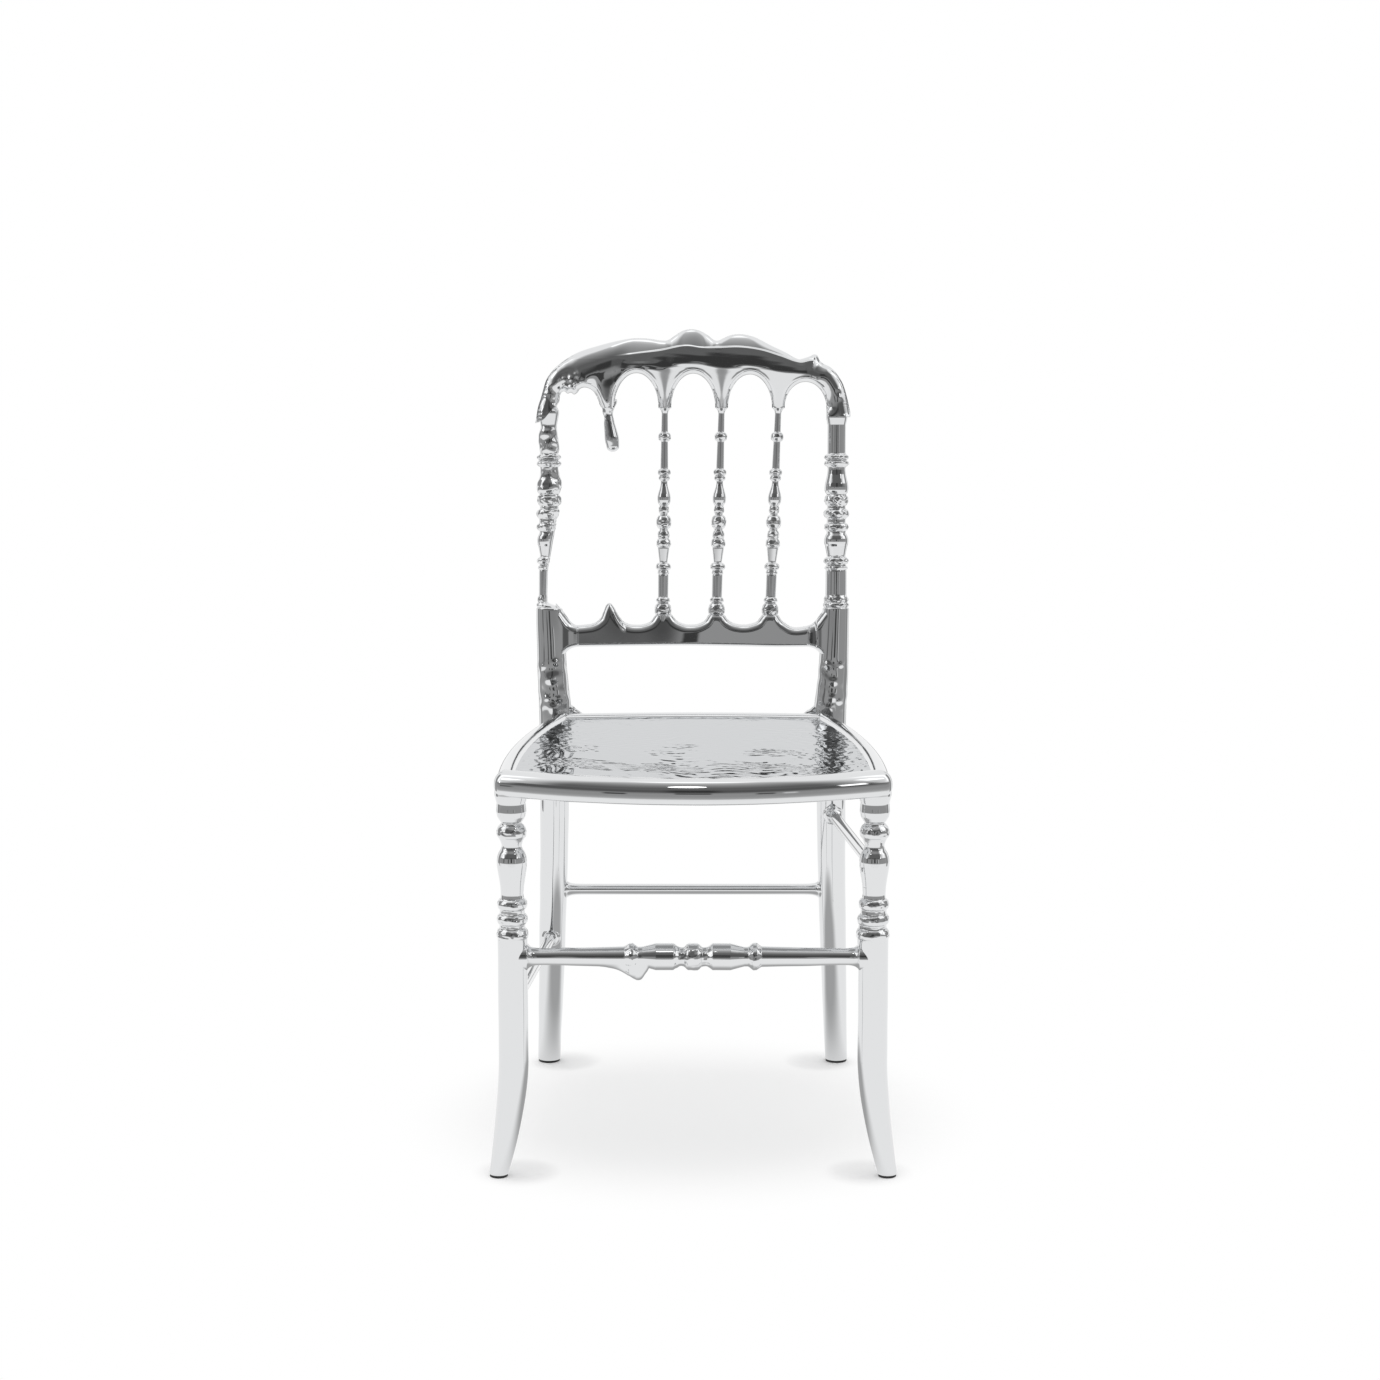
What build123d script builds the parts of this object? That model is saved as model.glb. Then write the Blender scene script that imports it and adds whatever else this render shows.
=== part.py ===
from build123d import *
import math
import os

# Driving dimensions in millimetres: +X to the right as seen from the front, +Y to the back, +Z up

# Fits
CLEARANCE = 0.15           # room round each peg in its socket, and at its end
PEG_ROOT = 1.0             # how far a peg starts inside its own piece

# Feet and glides
GLIDE_THICKNESS = 3.0
GLIDE_INSET = 0.6          # how far a glide's rim stands inside the foot above it
GLIDE_STEM_RADIUS = 3.0
GLIDE_STEM_LENGTH = 12.0

# Front legs
FRONT_LEG_X = 187.0
FRONT_LEG_Y = -188.0
FRONT_SHAFT_RADIUS = 15.5
FRONT_FOOT_RADIUS = 10.0
FRONT_TOE_OUT = 17.0       # how far the toe of the leg sweeps sideways from the leg's own axis
FRONT_TOE_FORWARD = 5.0
FRONT_SWEEP_HEIGHT = 125.0  # height above the floor where the sweep to the toe begins
FRONT_SWEEP_POWER = 1.6
FRONT_SWEEP_STEPS = 4
# Turned top of a front leg: height from the underside of the seat rail, radius, and mid radius of an arc
FRONT_LEG_TURNING = [
    (-146.0, FRONT_SHAFT_RADIUS),
    (-136.0, 13.2, 16.2),
    (-131.5, 12.9),
    (-121.0, 12.9, 15.5),
    (-116.5, 12.9),
    (-107.0, 12.2, 15.5),
    (-96.0, 11.6),
    (-86.5, 12.4),
    (-54.5, 10.3, 15.5),
    (-50.4, 10.3),
    (-46.5, 11.2),
    (-31.5, 11.4, 15.2),
    (-26.0, 10.6),
    (-20.0, 14.2),
    (-8.0, 14.3, 14.1),
    (0.0, 17.2),
]
LEG_PEG_RADIUS = 6.0
LEG_PEG_LENGTH = 12.0      # above the underside of the front seat rail

# Seat frame
SEAT_HEIGHT = 432.0        # crown of the front seat rail above the floor
FRONT_RAIL_RADIUS = 13.5
FRONT_RAIL_OVERHANG = 2.5  # how far the front rail's axis runs on past each leg's
FRONT_RAIL_HALF_SPAN = FRONT_LEG_X + FRONT_RAIL_OVERHANG
FRONT_RAIL_Y = -191.0      # axis of the front rail at its two ends
FRONT_RAIL_BOW = 47.0      # how far the middle stands in front of the ends
RAIL_WIDTH = 21.0          # side and rear rails
RAIL_HEIGHT = 23.0
RAIL_CORNER = 8.0
RAIL_DROP = 2.0            # top of the side and rear rails below the crown of the front rail
SIDE_RAIL_OFFSET = 1.5     # a side rail's axis at the front, outside the end of the front rail's
SIDE_RAIL_FRONT_X = FRONT_RAIL_HALF_SPAN + SIDE_RAIL_OFFSET
SIDE_RAIL_REAR_X = 147.0
SIDE_RAIL_SAG = 13.5       # outward bulge of a side rail from a straight line
REAR_RAIL_Y = 171.0
REAR_RAIL_BOW = 10.0
RAIL_PEG_RADIUS = 4.0
RAIL_PEG_LENGTH = 9.0

# Seat panel
PANEL_THICKNESS = 7.0
PANEL_DROP = 4.0           # top of the panel below the crown of the front rail
PANEL_LAP = 5.0            # how far a rail's axis lies outside the edge of the panel
LUG_WIDTH = 18.0
LUG_LENGTH = 30.0
LUG_THICKNESS = 4.0
LUG_SCREW_REACH = 20.0     # from a rail's axis to its screw
FRONT_LUG_X = 110.0
REAR_LUG_X = 80.0
SIDE_LUG_Y = -24.0
SCREW_RADIUS = 2.4
SCREW_HEAD_RADIUS = 4.5
SCREW_HEAD_HEIGHT = 3.2
SCREW_BITE = 4.0           # length of a screw inside the panel

# Back
BACK_Y = 187.0             # plane of the back at the seat
BACK_LEAN = 4.5            # degrees
POST_X = 165.5             # axis of the turned part of a post
POST_SEAT_X = 161.0
POST_SEAT_RADIUS = 16.8
POST_SHOULDER = 118.0      # length up the back from the seat to the top of the plain part
POST_SHOULDER_RADIUS = 15.0
POST_WAIST_X = 163.0
KNEE_HEIGHT = 326.0        # where the rear leg starts its sweep to the foot
KNEE_X = 161.0
KNEE_Y = 190.0
KNEE_RADIUS = 16.6
CALF_HEIGHT = 150.0
CALF_X = 166.0
CALF_Y = 211.0
CALF_RADIUS = 15.3
REAR_FOOT_X = 172.0
REAR_FOOT_Y = 239.0
REAR_FOOT_RADIUS = 13.2
# Turned part of a post: length above the shoulder, radius, and mid radius of an arc
POST_TURNING = [
    (0.0, POST_SHOULDER_RADIUS),
    (9.0, 13.2, 14.9),
    (16.5, 12.0, 14.0),
    (45.0, 11.8),
    (52.0, 12.8),
    (62.0, 10.5, 14.9),
    (72.5, 11.5),
    (91.0, 10.8, 14.2),
    (100.5, 10.8, 14.4),
    (105.3, 10.7),
    (116.5, 10.7, 14.6),
    (120.2, 10.6),
    (133.9, 11.8, 14.2),
    (161.5, 10.1, 13.8),
    (166.0, 11.4),
    (179.5, 10.6, 14.7),
]
POST_PEG_RADIUS = 7.0
POST_PEG_LENGTH = 16.0

# Left post, where the inner side has run away in the cast melt
MELT_FOOT = 126.0          # lengths up the back
MELT_WAIST = 164.0
MELT_TOP = 243.0
MELT_FOOT_X = 168.2
MELT_WAIST_X = 167.0
MELT_TOP_X = 152.0

# Crest rail, as lengths up the back and places across it
CREST_THICKNESS = 24.0
BACK_ROUNDING = 2.0        # edges of the crest rail and the lower rail
DROP_HEIGHT = 350.0        # foot of the drops that carry the spindles
# Top outline of the crest between its sleeves: a left shoulder, two swellings and a small right peak.
# These heights, and the sleeves' and arches', are measured from the foot of the drops.
CREST_TOP = [
    (-175.0, 11.0),
    (-167.5, 35.0),
    (-140.0, 60.0),
    (-106.0, 72.5),
    (-60.0, 80.0),
    (-29.0, 79.0),
    (-1.5, 90.0),
    (27.0, 77.0),
    (55.0, 85.0),
    (82.0, 77.0),
    (105.0, 67.0),
    (127.0, 56.5),
    (139.0, 62.5),
    (150.0, 49.0),
    (164.5, 37.0),
    (173.0, 22.0),
]
SLEEVE_OUTER_X = 180.0
SLEEVE_INNER_X = 153.5
SLEEVE_LEFT_DROP = 12.0
SLEEVE_RIGHT_DROP = 5.0
SLEEVE_LEFT = DROP_HEIGHT - SLEEVE_LEFT_DROP
SLEEVE_RIGHT = DROP_HEIGHT - SLEEVE_RIGHT_DROP
ARCH_RISES = [24.0, 40.0, 39.5, 38.5, 30.0]
DROP_HALF_WIDTH = 6.2

# Lower back rail
LOWER_RAIL_THICKNESS = 18.0
LOWER_RAIL_END_X = 134.0
LOWER_RAIL_END_TOP = 97.0
LOWER_RAIL_FOOT = 77.0
LOWER_RAIL_PEAK = 110.0    # seat of each spindle
BROKEN_PEAK = 124.0        # pointed remnant under the broken spindle
BROKEN_PEAK_HALF_WIDTH = 2.0
VALLEY_DEPTH = 15.0
BRACKET_TOP = 121.0
BRACKET_FOOT = 64.0
BRACKET_TOP_X = 153.0
BRACKET_FOOT_X = 149.5
BRACKET_HOLLOW = 0.3       # depth of a bracket's curve as a share of its corner

# Spindles
SPINDLE_COUNT = 4          # the first is broken off and leaves a stub
SPINDLE_TOP_PITCH = 65.2
SPINDLE_TOP_MIDDLE = 0.5
SPINDLE_FOOT_PITCH = 61.8
SPINDLE_FOOT_MIDDLE = -3.6
SPINDLE_PEG_RADIUS = 2.8
SPINDLE_PEG_LENGTH = 10.0
# Turned groups of a spindle: height from its foot, from its middle and from its top, then radii
SPINDLE_FOOT_TURNING = [(0.0, 8.3), (5.5, 8.6), (6.0, 7.2), (13.0, 7.0, 9.2), (20.5, 6.2, 7.6)]
SPINDLE_WAIST_TURNING = [
    (-72.0, 6.0),
    (-68.5, 6.4),
    (-59.5, 5.4, 8.6),
    (-57.4, 4.6),
    (-40.8, 7.0),
    (-39.7, 8.1),
    (-29.5, 6.1, 8.4),
    (-20.5, 5.0, 7.0),
    (-18.2, 4.6),
    (-3.5, 5.0, 8.9),
    (-1.9, 4.4),
    (8.2, 6.3, 6.6),
    (10.0, 7.6),
    (18.0, 7.9, 8.3),
    (33.7, 3.9),
    (38.5, 3.9),
    (49.0, 5.0, 7.6),
    (52.0, 4.7),
]
SPINDLE_TOP_TURNING = [(-38.0, 4.0), (-27.5, 3.9, 7.4), (0.0, 3.6)]
STUB_LEAN = 5.5            # sideways run of the stub over its length
# Stub: depth below its drop, radius, and mid radius of an arc
STUB_TURNING = [(0.0, 6.6), (16.0, 5.4), (30.0, 7.0), (44.0, 6.3, 7.3), (50.0, 2.4, 5.2)]

# Stretchers
STRETCHER_PEG_LENGTH = 10.0
FRONT_STRETCHER_HEIGHT = 234.5
FRONT_STRETCHER_END_RADIUS = 7.4
# Half of the front stretcher from its middle: distance, radius, and mid radius of an arc
FRONT_STRETCHER_TURNING = [
    (0.0, 15.5),
    (4.0, 13.0),
    (9.0, 9.8),
    (11.5, 9.8),
    (51.0, 9.8, 16.4),
    (57.0, 9.8),
    (67.0, 10.2, 15.6),
    (150.0, FRONT_STRETCHER_END_RADIUS),
]
DRIP_THICKNESS = 12.0
# Melted drip under the front stretcher: place along it and height from its axis
DRIP_OUTLINE = [
    (-102.0, -3.0),
    (-98.0, -8.0),
    (-80.0, -12.0),
    (-57.0, -25.0),
    (-46.0, -13.0),
    (-45.0, -3.0),
]
REAR_STRETCHER_HEIGHT = 218.0
REAR_STRETCHER_RADIUS = 6.3
SIDE_STRETCHER_RADIUS = 6.3
LEFT_STRETCHER_FRONT = 184.0
LEFT_STRETCHER_REAR = 161.0
RIGHT_STRETCHER_FRONT = 329.0
RIGHT_STRETCHER_REAR = 312.0

# Values worked out from the driving dimensions
FRONT_RAIL_Z = SEAT_HEIGHT - FRONT_RAIL_RADIUS
FRONT_RAIL_FOOT = SEAT_HEIGHT - 2 * FRONT_RAIL_RADIUS
RAIL_Z = SEAT_HEIGHT - RAIL_DROP - RAIL_HEIGHT / 2
PANEL_TOP = SEAT_HEIGHT - PANEL_DROP
PANEL_FOOT = PANEL_TOP - PANEL_THICKNESS
LEAN = math.radians(BACK_LEAN)
BACK = Plane(
    origin=(0, BACK_Y, SEAT_HEIGHT),
    x_dir=(1, 0, 0),
    z_dir=(0, -math.cos(LEAN), math.sin(LEAN)),
)
SPINDLE_STEPS = [i - (SPINDLE_COUNT - 1) / 2 for i in range(SPINDLE_COUNT)]
SPINDLE_TOPS = [SPINDLE_TOP_MIDDLE + SPINDLE_TOP_PITCH * step for step in SPINDLE_STEPS]
SPINDLE_FEET = [SPINDLE_FOOT_MIDDLE + SPINDLE_FOOT_PITCH * step for step in SPINDLE_STEPS]
STUB_LENGTH = STUB_TURNING[-1][0]
LEFT = -1
RIGHT = 1
UP = Vector(0, 0, 1)


# Shared shapes

def back_point(x, height):
    """Point on the plane of the back, across it and up it from the seat."""
    return BACK.from_local_coords(Vector(x, height, 0))


def peg(start, direction, radius, length):
    """Round peg from a start point along a direction."""
    cylinder = Cylinder(radius, length, align=(Align.CENTER, Align.CENTER, Align.MIN))
    return Plane(origin=start, z_dir=direction) * cylinder


def socket(start, direction, radius, length):
    """Bore that takes a peg of the same start, direction, radius and length."""
    return peg(start, direction, radius + CLEARANCE, length + CLEARANCE)


def turned(stations):
    """Solid turned about Z through stations of height, radius and, for an arc, its mid radius."""
    bottom = stations[0][0]
    top = stations[-1][0]
    outline = [Line((0, 0, bottom), (stations[0][1], 0, bottom))]
    for below, above in zip(stations, stations[1:]):
        start = (below[1], 0, below[0])
        end = (above[1], 0, above[0])
        if len(above) == 3:
            middle = (above[2], 0, (below[0] + above[0]) / 2)
            outline.append(ThreePointArc(start, middle, end))
        else:
            outline.append(Line(start, end))
    outline.append(Line((stations[-1][1], 0, top), (0, 0, top)))
    outline.append(Line((0, 0, top), (0, 0, bottom)))
    return revolve(make_face(outline), Axis.Z)


def shifted(stations, rise):
    """The same turned stations, moved along their axis."""
    return [(station[0] + rise, *station[1:]) for station in stations]


def round_loft(sections):
    """Smooth limb through round sections, each given as its plane and radius."""
    return loft([plane * Circle(radius) for plane, radius in sections])


def swing(x_start, height_start, x_end, height_end, height_middle):
    """Two quarter ellipses from a start to an end, by way of a level point half way between them."""
    middle = (x_start + x_end) / 2
    reach = middle - x_start
    rises = height_middle > height_start
    turn = -90 if rises else 90
    half = 90 if rises else 270
    first = EllipticalCenterArc(
        (middle, height_start), reach, abs(height_middle - height_start), 180, arc_size=turn
    )
    second = EllipticalCenterArc(
        (middle, height_end), reach, abs(height_middle - height_end), half, arc_size=turn
    )
    return [first, second]


def back_slab(outline, thickness, rounding):
    """Slab of the back from an outline on its plane, with its front and rear edges rounded."""
    slab = extrude(BACK * make_face(outline), amount=thickness / 2, both=True)
    if rounding == 0:
        return slab
    normal = BACK.z_dir
    rims = [
        edge
        for face in slab.faces()
        if abs(face.normal_at().dot(normal)) > 0.99
        for edge in face.edges()
    ]
    return fillet(rims, rounding)


def one_solid(shape):
    """The largest solid of a shape."""
    return max(shape.solids(), key=lambda solid: solid.volume)


def save(name, shape):
    """Write a piece, or a group of like pieces, to its own file."""
    shape.label = name
    export_step(shape, f"parts/{name}.step")


# Seat rails, before their joints are cut

def front_rail_arc():
    return ThreePointArc(
        (-FRONT_RAIL_HALF_SPAN, FRONT_RAIL_Y, FRONT_RAIL_Z),
        (0, FRONT_RAIL_Y - FRONT_RAIL_BOW, FRONT_RAIL_Z),
        (FRONT_RAIL_HALF_SPAN, FRONT_RAIL_Y, FRONT_RAIL_Z),
    )


def side_rail_arc(side):
    """Axis of a side rail, from inside the front rail to inside the post."""
    middle_x = (SIDE_RAIL_FRONT_X + SIDE_RAIL_REAR_X) / 2 + SIDE_RAIL_SAG
    middle_y = (FRONT_RAIL_Y + BACK_Y) / 2
    return ThreePointArc(
        (side * SIDE_RAIL_FRONT_X, FRONT_RAIL_Y, RAIL_Z),
        (side * middle_x, middle_y, RAIL_Z),
        (side * SIDE_RAIL_REAR_X, BACK_Y, RAIL_Z),
    )


def rear_rail_arc():
    return ThreePointArc(
        (-SIDE_RAIL_REAR_X, REAR_RAIL_Y, RAIL_Z),
        (0, REAR_RAIL_Y + REAR_RAIL_BOW, RAIL_Z),
        (SIDE_RAIL_REAR_X, REAR_RAIL_Y, RAIL_Z),
    )


def bar_along(path):
    """Bar with the section of the side and rear rails along a level arc."""
    section = RectangleRounded(RAIL_WIDTH, RAIL_HEIGHT, RAIL_CORNER)
    start = Plane(origin=path @ 0, x_dir=UP.cross(path % 0), z_dir=path % 0)
    return sweep(start * section, path=path)


def front_rail_roll():
    """Front rail as a plain round bar with rounded ends."""
    path = front_rail_arc()
    start = Plane(origin=path @ 0, z_dir=path % 0)
    roll = sweep(start * Circle(FRONT_RAIL_RADIUS), path=path)
    for end in (path @ 0, path @ 1):
        roll += Pos(*end) * Sphere(FRONT_RAIL_RADIUS)
    return roll


# Seat panel and what holds it

def panel_outline(room):
    """Outline of the panel's seat in the rails, wider than the panel by the given room."""
    inset = PANEL_LAP - room
    front_x = SIDE_RAIL_FRONT_X - inset
    rear_x = SIDE_RAIL_REAR_X - inset
    front_y = FRONT_RAIL_Y + inset
    rear_y = REAR_RAIL_Y - inset
    side_x = (SIDE_RAIL_FRONT_X + SIDE_RAIL_REAR_X) / 2 + SIDE_RAIL_SAG - inset
    side_y = (front_y + rear_y) / 2
    edges = [
        ThreePointArc((-front_x, front_y), (0, front_y - FRONT_RAIL_BOW), (front_x, front_y)),
        ThreePointArc((front_x, front_y), (side_x, side_y), (rear_x, rear_y)),
        ThreePointArc((rear_x, rear_y), (0, rear_y + REAR_RAIL_BOW), (-rear_x, rear_y)),
        ThreePointArc((-rear_x, rear_y), (-side_x, side_y), (-front_x, front_y)),
    ]
    return make_face(edges)


def panel_blank(room, height):
    """Slab over the panel's outline, from its underside up."""
    return Pos(0, 0, PANEL_FOOT) * extrude(panel_outline(room), amount=height)


def lug_seat(path, place):
    """Plane at a lug's root on a rail's axis, with its X axis pointing in to the seat."""
    root = Vector(*(path @ place))
    along = path % place
    inward = along.cross(UP)
    if inward.dot(Vector(0, 0, 0) - Vector(root.X, root.Y, 0)) < 0:
        inward = inward * -1
    return Plane(origin=(root.X, root.Y, PANEL_FOOT), x_dir=inward, z_dir=UP)


def place_on(path, coordinate, value):
    """Place along an arc, from 0 to 1, where one coordinate reaches a value."""
    low = 0.0
    high = 1.0
    rising = getattr(path @ 1, coordinate) > getattr(path @ 0, coordinate)
    for _ in range(40):
        middle = (low + high) / 2
        below = getattr(path @ middle, coordinate) < value
        if below == rising:
            low = middle
        else:
            high = middle
    return (low + high) / 2


def lug_planes():
    """Lugs that each rail carries, by the rail's name."""
    front = front_rail_arc()
    rear = rear_rail_arc()
    planes = {
        "front": [lug_seat(front, place_on(front, "X", x)) for x in (-FRONT_LUG_X, FRONT_LUG_X)],
        "rear": [lug_seat(rear, place_on(rear, "X", x)) for x in (-REAR_LUG_X, REAR_LUG_X)],
    }
    for name, side in (("left", LEFT), ("right", RIGHT)):
        path = side_rail_arc(side)
        planes[name] = [lug_seat(path, place_on(path, "Y", SIDE_LUG_Y))]
    return planes


def lug(plane):
    """Flat lug under the panel with a hole for its screw."""
    align = (Align.MIN, Align.CENTER, Align.MAX)
    tab = plane * Box(LUG_LENGTH, LUG_WIDTH, LUG_THICKNESS, align=align)
    return tab - screw_bore(plane)


def screw_start(plane):
    """Seat of a screw's head, on the underside of its lug."""
    return plane.from_local_coords(Vector(LUG_SCREW_REACH, 0, -LUG_THICKNESS))


def screw_bore(plane):
    return socket(screw_start(plane), UP, SCREW_RADIUS, LUG_THICKNESS + SCREW_BITE)


def panel_screw(plane):
    """Screw with its head under the lug and its tip in the panel."""
    start = screw_start(plane)
    shank = peg(start, UP, SCREW_RADIUS, LUG_THICKNESS + SCREW_BITE)
    head = peg(start, UP * -1, SCREW_HEAD_RADIUS, SCREW_HEAD_HEIGHT)
    return shank + head


def seat_panel(planes):
    panel = panel_blank(0, PANEL_THICKNESS)
    for plane in planes:
        panel -= screw_bore(plane)
    return one_solid(panel)


# Legs and posts, before their joints are cut

def front_leg_axis(side, height):
    """Centre of a front leg at a height: straight at the top, swept out and forward at the toe."""
    share = max(0.0, 1 - height / FRONT_SWEEP_HEIGHT) ** FRONT_SWEEP_POWER
    x = side * (FRONT_LEG_X + FRONT_TOE_OUT * share)
    return Vector(x, FRONT_LEG_Y - FRONT_TOE_FORWARD * share, height)


def front_leg_limb(side):
    """Front leg from the top of its glide to the height of the seat rail's axis."""
    turning = shifted(FRONT_LEG_TURNING, FRONT_RAIL_FOOT)
    shaft_top = turning[0][0]
    sections = []
    for step in range(FRONT_SWEEP_STEPS + 1):
        share = step / FRONT_SWEEP_STEPS
        height = GLIDE_THICKNESS + (FRONT_SWEEP_HEIGHT - GLIDE_THICKNESS) * share
        ease = math.sin(share * math.pi / 2)
        radius = FRONT_FOOT_RADIUS + (FRONT_SHAFT_RADIUS - FRONT_FOOT_RADIUS) * ease
        sections.append((Plane(origin=front_leg_axis(side, height)), radius))
    sweep_top = front_leg_axis(side, FRONT_SWEEP_HEIGHT)
    shaft = peg(sweep_top, UP, FRONT_SHAFT_RADIUS, shaft_top - FRONT_SWEEP_HEIGHT)
    collar = [(FRONT_RAIL_Z, turning[-1][1])]
    top = Pos(side * FRONT_LEG_X, FRONT_LEG_Y, 0) * turned(turning + collar)
    return round_loft(sections) + shaft + top


def level(x, y, height):
    """Level section plane of a post below the seat."""
    return Plane(origin=(x, y, height))


def raised(x, height):
    """Section plane of a post above the seat, square to the back."""
    return Plane(origin=back_point(x, height), x_dir=(1, 0, 0), z_dir=BACK.y_dir)


def post_limb(side):
    """Post from the top of its glide to the shoulder, with its turned top and its bracket."""
    sections = [
        (level(side * REAR_FOOT_X, REAR_FOOT_Y, GLIDE_THICKNESS), REAR_FOOT_RADIUS),
        (level(side * CALF_X, CALF_Y, CALF_HEIGHT), CALF_RADIUS),
        (level(side * KNEE_X, KNEE_Y, KNEE_HEIGHT), KNEE_RADIUS),
        (level(side * POST_SEAT_X, BACK_Y, SEAT_HEIGHT), POST_SEAT_RADIUS),
        (raised(side * POST_WAIST_X, POST_SHOULDER / 2), POST_SEAT_RADIUS),
        (raised(side * POST_X, POST_SHOULDER), POST_SHOULDER_RADIUS),
    ]
    limb = round_loft(sections) + bracket(side)
    neck = [(sleeve_foot(side) - POST_SHOULDER, POST_TURNING[-1][1])]
    return limb + raised(side * POST_X, POST_SHOULDER) * turned(POST_TURNING + neck)


def sleeve_foot(side):
    return SLEEVE_LEFT if side == LEFT else SLEEVE_RIGHT


def bracket(side):
    """Curved bracket from a post to the end of the lower back rail."""
    top_mid = (
        LOWER_RAIL_END_X + (BRACKET_TOP_X - LOWER_RAIL_END_X) * (1 - BRACKET_HOLLOW),
        LOWER_RAIL_END_TOP + (BRACKET_TOP - LOWER_RAIL_END_TOP) * BRACKET_HOLLOW,
    )
    foot_mid = (
        LOWER_RAIL_END_X + (BRACKET_FOOT_X - LOWER_RAIL_END_X) * (1 - BRACKET_HOLLOW),
        LOWER_RAIL_FOOT + (BRACKET_FOOT - LOWER_RAIL_FOOT) * BRACKET_HOLLOW,
    )
    top = (BRACKET_TOP_X, BRACKET_TOP)
    foot = (BRACKET_FOOT_X, BRACKET_FOOT)
    end_top = (LOWER_RAIL_END_X, LOWER_RAIL_END_TOP)
    end_foot = (LOWER_RAIL_END_X, LOWER_RAIL_FOOT)
    root_top = (POST_WAIST_X, BRACKET_TOP)
    root_foot = (POST_WAIST_X, BRACKET_FOOT)
    outline = [
        Line(root_top, top),
        ThreePointArc(top, top_mid, end_top),
        Line(end_top, end_foot),
        ThreePointArc(end_foot, foot_mid, foot),
        Line(foot, root_foot),
        Line(root_foot, root_top),
    ]
    slab = back_slab(outline, LOWER_RAIL_THICKNESS, 0)
    return slab if side == RIGHT else slab.mirror(Plane.YZ)


def melted_side():
    """Wedge of the left post's turned part that has run away on its inner side."""
    inner = 2 * POST_SHOULDER_RADIUS - POST_X
    outline = Polyline(
        (-MELT_TOP_X, MELT_TOP),
        (-MELT_WAIST_X, MELT_WAIST),
        (-MELT_FOOT_X, MELT_FOOT),
        (inner, MELT_FOOT),
        (inner, MELT_TOP),
        close=True,
    )
    return back_slab(outline.edges(), CREST_THICKNESS * 2, 0)


# Back rails, before their joints are cut

def crest_slab():
    """Crest rail with two sleeves for the posts, five arches and four drops for the spindles."""
    left_foot = (-SLEEVE_OUTER_X, SLEEVE_LEFT)
    right_foot = (SLEEVE_OUTER_X, SLEEVE_RIGHT)
    crown = [(x, DROP_HEIGHT + rise) for x, rise in CREST_TOP]
    top = [Spline(left_foot, *crown, right_foot)]
    sides = [
        Line(left_foot, (-SLEEVE_INNER_X, SLEEVE_LEFT)),
        Line((-SLEEVE_INNER_X, SLEEVE_LEFT), (-SLEEVE_INNER_X, DROP_HEIGHT)),
        Line((SLEEVE_INNER_X, DROP_HEIGHT), (SLEEVE_INNER_X, SLEEVE_RIGHT)),
        Line((SLEEVE_INNER_X, SLEEVE_RIGHT), right_foot),
    ]
    drops = [
        Line((x - DROP_HALF_WIDTH, DROP_HEIGHT), (x + DROP_HALF_WIDTH, DROP_HEIGHT))
        for x in SPINDLE_TOPS
    ]
    starts = [-SLEEVE_INNER_X] + [x + DROP_HALF_WIDTH for x in SPINDLE_TOPS]
    ends = [x - DROP_HALF_WIDTH for x in SPINDLE_TOPS] + [SLEEVE_INNER_X]
    arches = []
    for start, end, rise in zip(starts, ends, ARCH_RISES):
        arches += swing(start, DROP_HEIGHT, end, DROP_HEIGHT, DROP_HEIGHT + rise)
    return back_slab(top + sides + drops + arches, CREST_THICKNESS, BACK_ROUNDING)


def lower_rail_slab():
    """Lower back rail with a seat for each spindle and a pointed remnant under the broken one."""
    seat_half = SPINDLE_FOOT_TURNING[0][1]
    halves = [BROKEN_PEAK_HALF_WIDTH] + [seat_half] * (SPINDLE_COUNT - 1)
    peaks = [BROKEN_PEAK] + [LOWER_RAIL_PEAK] * (SPINDLE_COUNT - 1)
    starts = [(-LOWER_RAIL_END_X, LOWER_RAIL_END_TOP)]
    ends = []
    seats = []
    for x, half, peak in zip(SPINDLE_FEET, halves, peaks):
        ends.append((x - half, peak))
        starts.append((x + half, peak))
        seats.append(Line(ends[-1], starts[-1]))
    ends.append((LOWER_RAIL_END_X, LOWER_RAIL_END_TOP))
    valley = LOWER_RAIL_PEAK - VALLEY_DEPTH
    top = []
    for start, end in zip(starts, ends):
        top += swing(*start, *end, valley)
    foot_left = (-LOWER_RAIL_END_X, LOWER_RAIL_FOOT)
    foot_right = (LOWER_RAIL_END_X, LOWER_RAIL_FOOT)
    foot = [
        Line(starts[0], foot_left),
        Line(foot_left, foot_right),
        Line(foot_right, ends[-1]),
    ]
    return back_slab(top + seats + foot, LOWER_RAIL_THICKNESS, BACK_ROUNDING)


# Spindles

def spindle_line(index):
    """Foot point, top point and direction of a spindle."""
    foot = back_point(SPINDLE_FEET[index], LOWER_RAIL_PEAK)
    top = back_point(SPINDLE_TOPS[index], DROP_HEIGHT)
    return foot, top, (top - foot).normalized()


def spindle_peg(seat, direction):
    """Start, direction, radius and length of a peg that crosses a seat from inside its spindle."""
    start = seat - direction * SPINDLE_PEG_RADIUS
    return start, direction, SPINDLE_PEG_RADIUS, SPINDLE_PEG_LENGTH + SPINDLE_PEG_RADIUS


def spindle_pegs(index):
    """Pegs at the foot and at the top of a spindle."""
    foot, top, direction = spindle_line(index)
    return spindle_peg(foot, direction * -1), spindle_peg(top, direction)


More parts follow.
